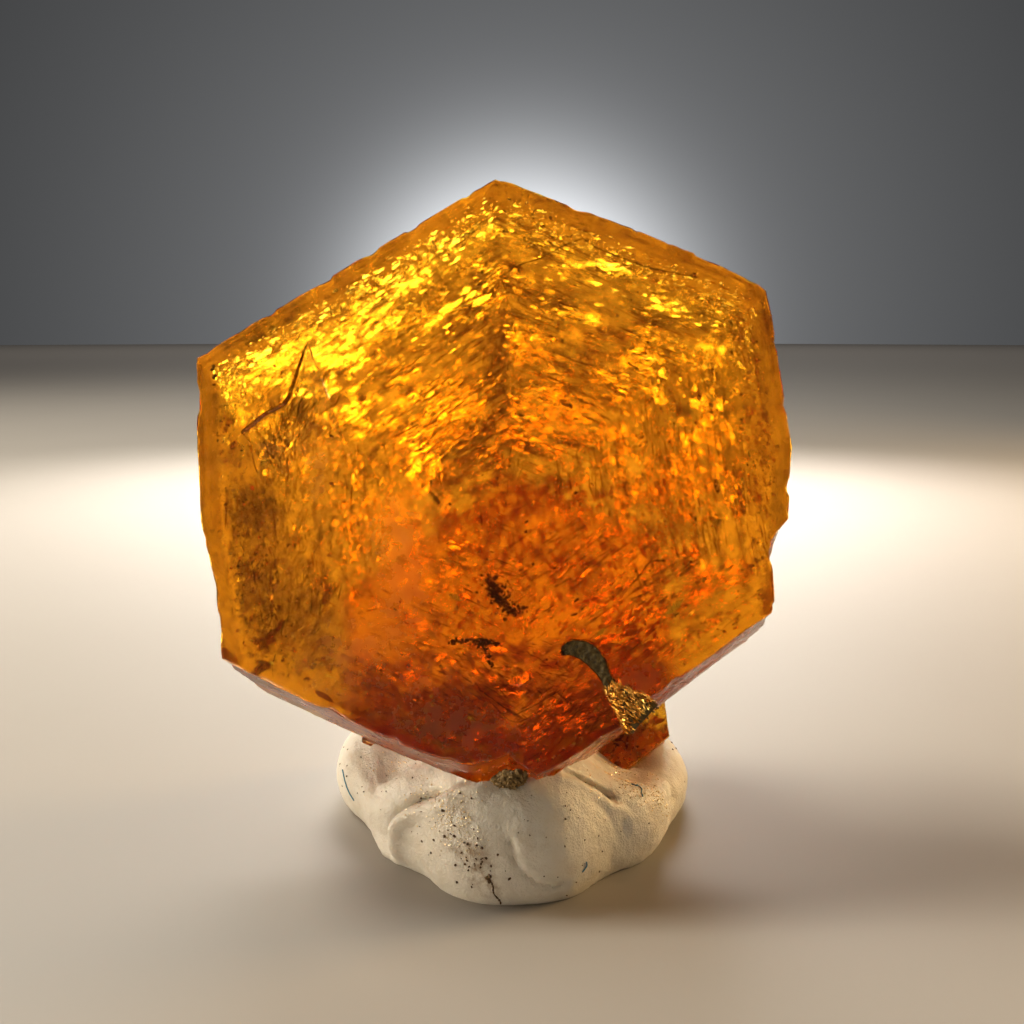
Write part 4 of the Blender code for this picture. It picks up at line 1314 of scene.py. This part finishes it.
def striae_material():
    m = Nodes("striae_gold")
    m.set(Metallic=1.0)
    m.link(m.ramp(m.noise(1500, 2), [(0.35, (0.85, 0.36, 0.04)), (0.65, (1.0, 0.62, 0.14))]), m.bsdf.inputs["Base Color"])
    m.link(m.remap(m.noise(5000, 2), 0.3, 0.7, 0.22, 0.36), m.bsdf.inputs["Roughness"])
    return m.mat


def mote_material():
    m = Nodes("mote_gold")
    m.set(Metallic=1.0)
    m.link(m.ramp(m.noise(1500, 2), [(0.35, (1.0, 0.80, 0.45)), (0.65, (1.0, 0.93, 0.70))]), m.bsdf.inputs["Base Color"])
    m.link(m.remap(m.noise(5000, 2), 0.3, 0.7, 0.18, 0.38), m.bsdf.inputs["Roughness"])
    return m.mat


def streak_material(name="streak_brown", dark=(0.24, 0.08, 0.006), light=(0.62, 0.28, 0.02)):
    m = Nodes(name)
    m.link(m.ramp(m.noise(1200, 3), [(0.35, dark), (0.7, light)]), m.bsdf.inputs["Base Color"])
    m.link(m.remap(m.noise(4000, 2), 0.3, 0.7, 0.35, 0.6), m.bsdf.inputs["Roughness"])
    return m.mat


def matrix_material(name, dark, light):
    m = Nodes(name)
    c = m.ramp(m.noise(6500, 4, 0.7), [(0.30, dark), (0.55, tuple((a + b) / 2 for a, b in zip(dark, light))), (0.75, light)])
    m.link(c, m.bsdf.inputs["Base Color"])
    m.link(m.remap(m.noise(5000, 3), 0.3, 0.7, 0.45, 0.9), m.bsdf.inputs["Roughness"])
    m.bump(m.noise(16000, 3, 0.6), 0.4, 0.00002)
    return m.mat


def putty_material():
    m = Nodes("putty_skin")
    base = m.ramp(m.noise(260, 5, 0.6), [(0.30, (0.60, 0.55, 0.46)), (0.50, (0.71, 0.67, 0.59)), (0.72, (0.80, 0.77, 0.70))])
    blot = m.mix(m.remap(m.noise(900, 5, 0.7), 0.50, 0.75, 0.0, 0.35), base, (0.52, 0.40, 0.26))
    dirt = m.math("MULTIPLY", m.attribute("dirt"), m.remap(m.noise(2400, 4, 0.7), 0.42, 0.62, 0.0, 0.75))
    c = m.mix(dirt, blot, (0.26, 0.15, 0.06))
    m.link(c, m.bsdf.inputs["Base Color"])
    dry = m.remap(m.noise(1500, 4, 0.6), 0.3, 0.7, 0.30, 0.56)
    wet = m.math("MULTIPLY", m.attribute("wet"), m.remap(m.noise(3000, 3, 0.7), 0.42, 0.55, 0.0, 1.0))
    r = m.math("SUBTRACT", dry, m.math("MULTIPLY", wet, 0.38))
    m.link(m.math("MAXIMUM", r, 0.12), m.bsdf.inputs["Roughness"])
    m.set(Subsurface_Weight=0.25, Subsurface_Scale=0.0006)
    m.bsdf.inputs["Subsurface Radius"].default_value = (1.0, 0.7, 0.45)
    h = m.math("ADD", m.math("MULTIPLY", m.noise(4200, 5, 0.68), 1.0), m.math("MULTIPLY", m.noise(14000, 3, 0.6), 0.45))
    m.bump(h, 0.75, 0.00008)
    return m.mat


def fibre_material():
    m = Nodes("fibre_blue")
    m.link(m.mix(m.noise(4000, 2), (0.04, 0.16, 0.28), (0.10, 0.30, 0.42)), m.bsdf.inputs["Base Color"])
    m.set(Roughness=0.5)
    return m.mat


def floor_material():
    m = Nodes("pale_floor")
    m.link(m.mix(m.noise(60, 3), (0.318, 0.290, 0.262), (0.338, 0.310, 0.282)), m.bsdf.inputs["Base Color"])
    m.set(Roughness=0.55)
    return m.mat


def dress(o, mat, slot=None, node=None):
    o.data.materials.clear()
    o.data.materials.append(mat)
    if slot:
        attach(o, "root")
        if node:
            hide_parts(node)
    return o


# ------------------------------------------------------------------ build
crystal = dress(build_crystal(), crystal_material(), "mimetite", "mimetite_crystal")
dress(build_gleams(), gleam_material(), "mimetite")
dress(build_motes(), mote_material(), "mimetite")
dress(build_streaks(), streak_material(), "mimetite")
# the fibre clouds right of the chip's edge are painted shade: dark fibres where the chip's fracture shades the crystal
dress(build_veils("growth_veils_and_chip_shade", GROWTH_VEILS_AND_CHIP_SHADE, 141), streak_material(), "mimetite")
dress(build_veils("olive_veils_and_chip_shade", OLIVE_VEILS_AND_CHIP_SHADE, 143), streak_material("streak_olive", (0.06, 0.035, 0.003), (0.26, 0.15, 0.012)), "mimetite")
dress(build_veils("red_veils", RED_VEILS, 145, 3.0), streak_material("veil_red", (0.95, 0.24, 0.015), (1.0, 0.52, 0.05)), "mimetite")
dress(build_foot_veil(), streak_material("veil_foot", (0.80, 0.38, 0.04), (1.0, 0.70, 0.13)), "mimetite")
olive = matrix_material("matrix_sealed", (0.09, 0.055, 0.010), (0.34, 0.22, 0.04))
dress(build_inner_matrix(), olive, "matrix")
dress(build_cracks(), olive, "mimetite")
earth = matrix_material("matrix_olive", (0.030, 0.019, 0.003), (0.22, 0.145, 0.035))
dress(build_vein(), earth, "matrix", "matrix_vein")
dress(build_crumb(), matrix_material("matrix_brown", (0.05, 0.028, 0.006), (0.40, 0.25, 0.08)), "matrix", "matrix_crumb")
dress(build_wires(), striae_material(), "mimetite")
putty = dress(build_putty(), putty_material(), "putty", "putty_mount")
dress(build_putty_specks(putty), matrix_material("speck_brown", (0.03, 0.012, 0.004), (0.16, 0.08, 0.02)), "putty")
dress(build_putty_glints(putty), glint_material(), "putty")
dress(build_fibres(putty), fibre_material(), "putty")


# ------------------------------------------------------------------ stage, light, camera
def area(name, at, aim, size, power, colour=(1, 1, 1)):
    l = bpy.data.lights.new(name, "AREA")
    l.shape = "RECTANGLE"
    l.size, l.size_y = size[0] * MM, size[1] * MM
    l.energy = power
    l.color = colour
    o = bpy.data.objects.new(name, l)
    bpy.context.scene.collection.objects.link(o)
    o.location = Vector(at) * MM
    d = Vector(aim) * MM - o.location
    o.rotation_mode = "QUATERNION"
    o.rotation_quaternion = d.to_track_quat("-Z", "Y")
    return o


def floor_mesh():
    n = 48
    ring = [(0.0, 0.0, 0.0)]
    radii = [20, 60, 150, 400, 1200]
    quads, tris = [], []
    for r in radii:
        for k in range(n):
            a = 2 * math.pi * k / n
            ring.append((r * math.cos(a), r * math.sin(a), 0.0))
    for k in range(n):
        tris.append((0, 1 + k, 1 + (k + 1) % n))
    for m in range(len(radii) - 1):
        for k in range(n):
            a, b = 1 + m * n, 1 + (m + 1) * n
            quads.append((a + k, b + k, b + (k + 1) % n, a + (k + 1) % n))
    v = np.array(ring)
    v[:, 2] = -0.002
    return make_object("floor", v, quads, tris, frame_space=True)


floor = floor_mesh()
floor.data.materials.append(floor_material())

area("key", KEY_AT, (0, 0, 8), (120, 120), 0.97, (1.0, 0.94, 0.80))
soft = area("back_soft", (4, 120, 74), (0, 76, 0), (90, 40), 0.074, (1.0, 0.95, 0.88))
soft.data.spread = math.radians(66)
area("low_fill", (-95, -150, 34), (0, 0, 3), (110, 50), 0.070, (1.0, 0.80, 0.58))
near = area("near_back", (1, 30, 30), (0, 9, 0), (6, 6), 0.0003, (1.0, 0.93, 0.84))
near.data.spread = math.radians(24)
area("far_soft", (0, 900, 500), (0, 600, 0), (600, 300), 1.3, (1.0, 0.96, 0.91))
area("left_soft", (-150, 6, 30), (0, 0, 4), (60, 36), 0.19, (1.0, 0.86, 0.66))
area("right_gold", (140, 50, 44), (0, 0, 4), (50, 36), 0.22, (1.0, 0.66, 0.30))
sun = bpy.data.lights.new("sky", "SUN")
sun.energy, sun.angle, sun.color = 0.25, math.radians(25), (1.0, 0.90, 0.76)
sun_o = bpy.data.objects.new("sky", sun)
bpy.context.scene.collection.objects.link(sun_o)
sun_o.rotation_mode = "QUATERNION"
sun_o.rotation_quaternion = (Vector((0, 0, 8)) - Vector(KEY_AT)).to_track_quat("-Z", "Y")


def studio_world():
    world = bpy.data.worlds.new("studio")
    bpy.context.scene.world = world
    world.use_nodes = True
    nt = world.node_tree
    nt.nodes.clear()
    N, L = nt.nodes.new, nt.links.new
    out, bg = N("ShaderNodeOutputWorld"), N("ShaderNodeBackground")
    L(bg.outputs[0], out.inputs[0])
    tc = N("ShaderNodeTexCoord")
    dot = N("ShaderNodeVectorMath")
    dot.operation = "DOT_PRODUCT"
    az, el = math.radians(0.5), math.radians(-0.5)
    dot.inputs[1].default_value = (math.sin(az) * math.cos(el), math.cos(az) * math.cos(el), math.sin(el))
    L(tc.outputs["Generated"], dot.inputs[0])
    front = N("ShaderNodeMath")
    front.operation = "MAXIMUM"
    front.inputs[1].default_value = 0.0
    L(dot.outputs["Value"], front.inputs[0])
    total = None
    for power, gain in ((6.0, 0.105), (26.0, 0.10), (174.0, 2.4)):
        p = N("ShaderNodeMath")
        p.operation = "POWER"
        p.inputs[1].default_value = power
        L(front.outputs[0], p.inputs[0])
        g = N("ShaderNodeMath")
        g.operation = "MULTIPLY_ADD"
        g.inputs[1].default_value = gain
        g.inputs[2].default_value = 0.012
        L(p.outputs[0], g.inputs[0])
        if total is not None:
            L(total, g.inputs[2])
        total = g.outputs[0]
    L(total, bg.inputs["Strength"])
    bg.inputs["Color"].default_value = (0.95, 0.97, 1.0, 1)


studio_world()

cam = bpy.data.cameras.new("camera")
cam.lens, cam.sensor_width = 38.0, 36.0
cam.clip_start, cam.clip_end = 0.002, 10.0
camera = bpy.data.objects.new("camera", cam)
bpy.context.scene.collection.objects.link(camera)
camera.location = Vector(CAMERA_AT) * MM
camera.rotation_euler = (math.radians(90 - CAMERA_PITCH), 0, 0)
bpy.context.scene.camera = camera
bpy.context.scene.view_settings.view_transform = "Standard"
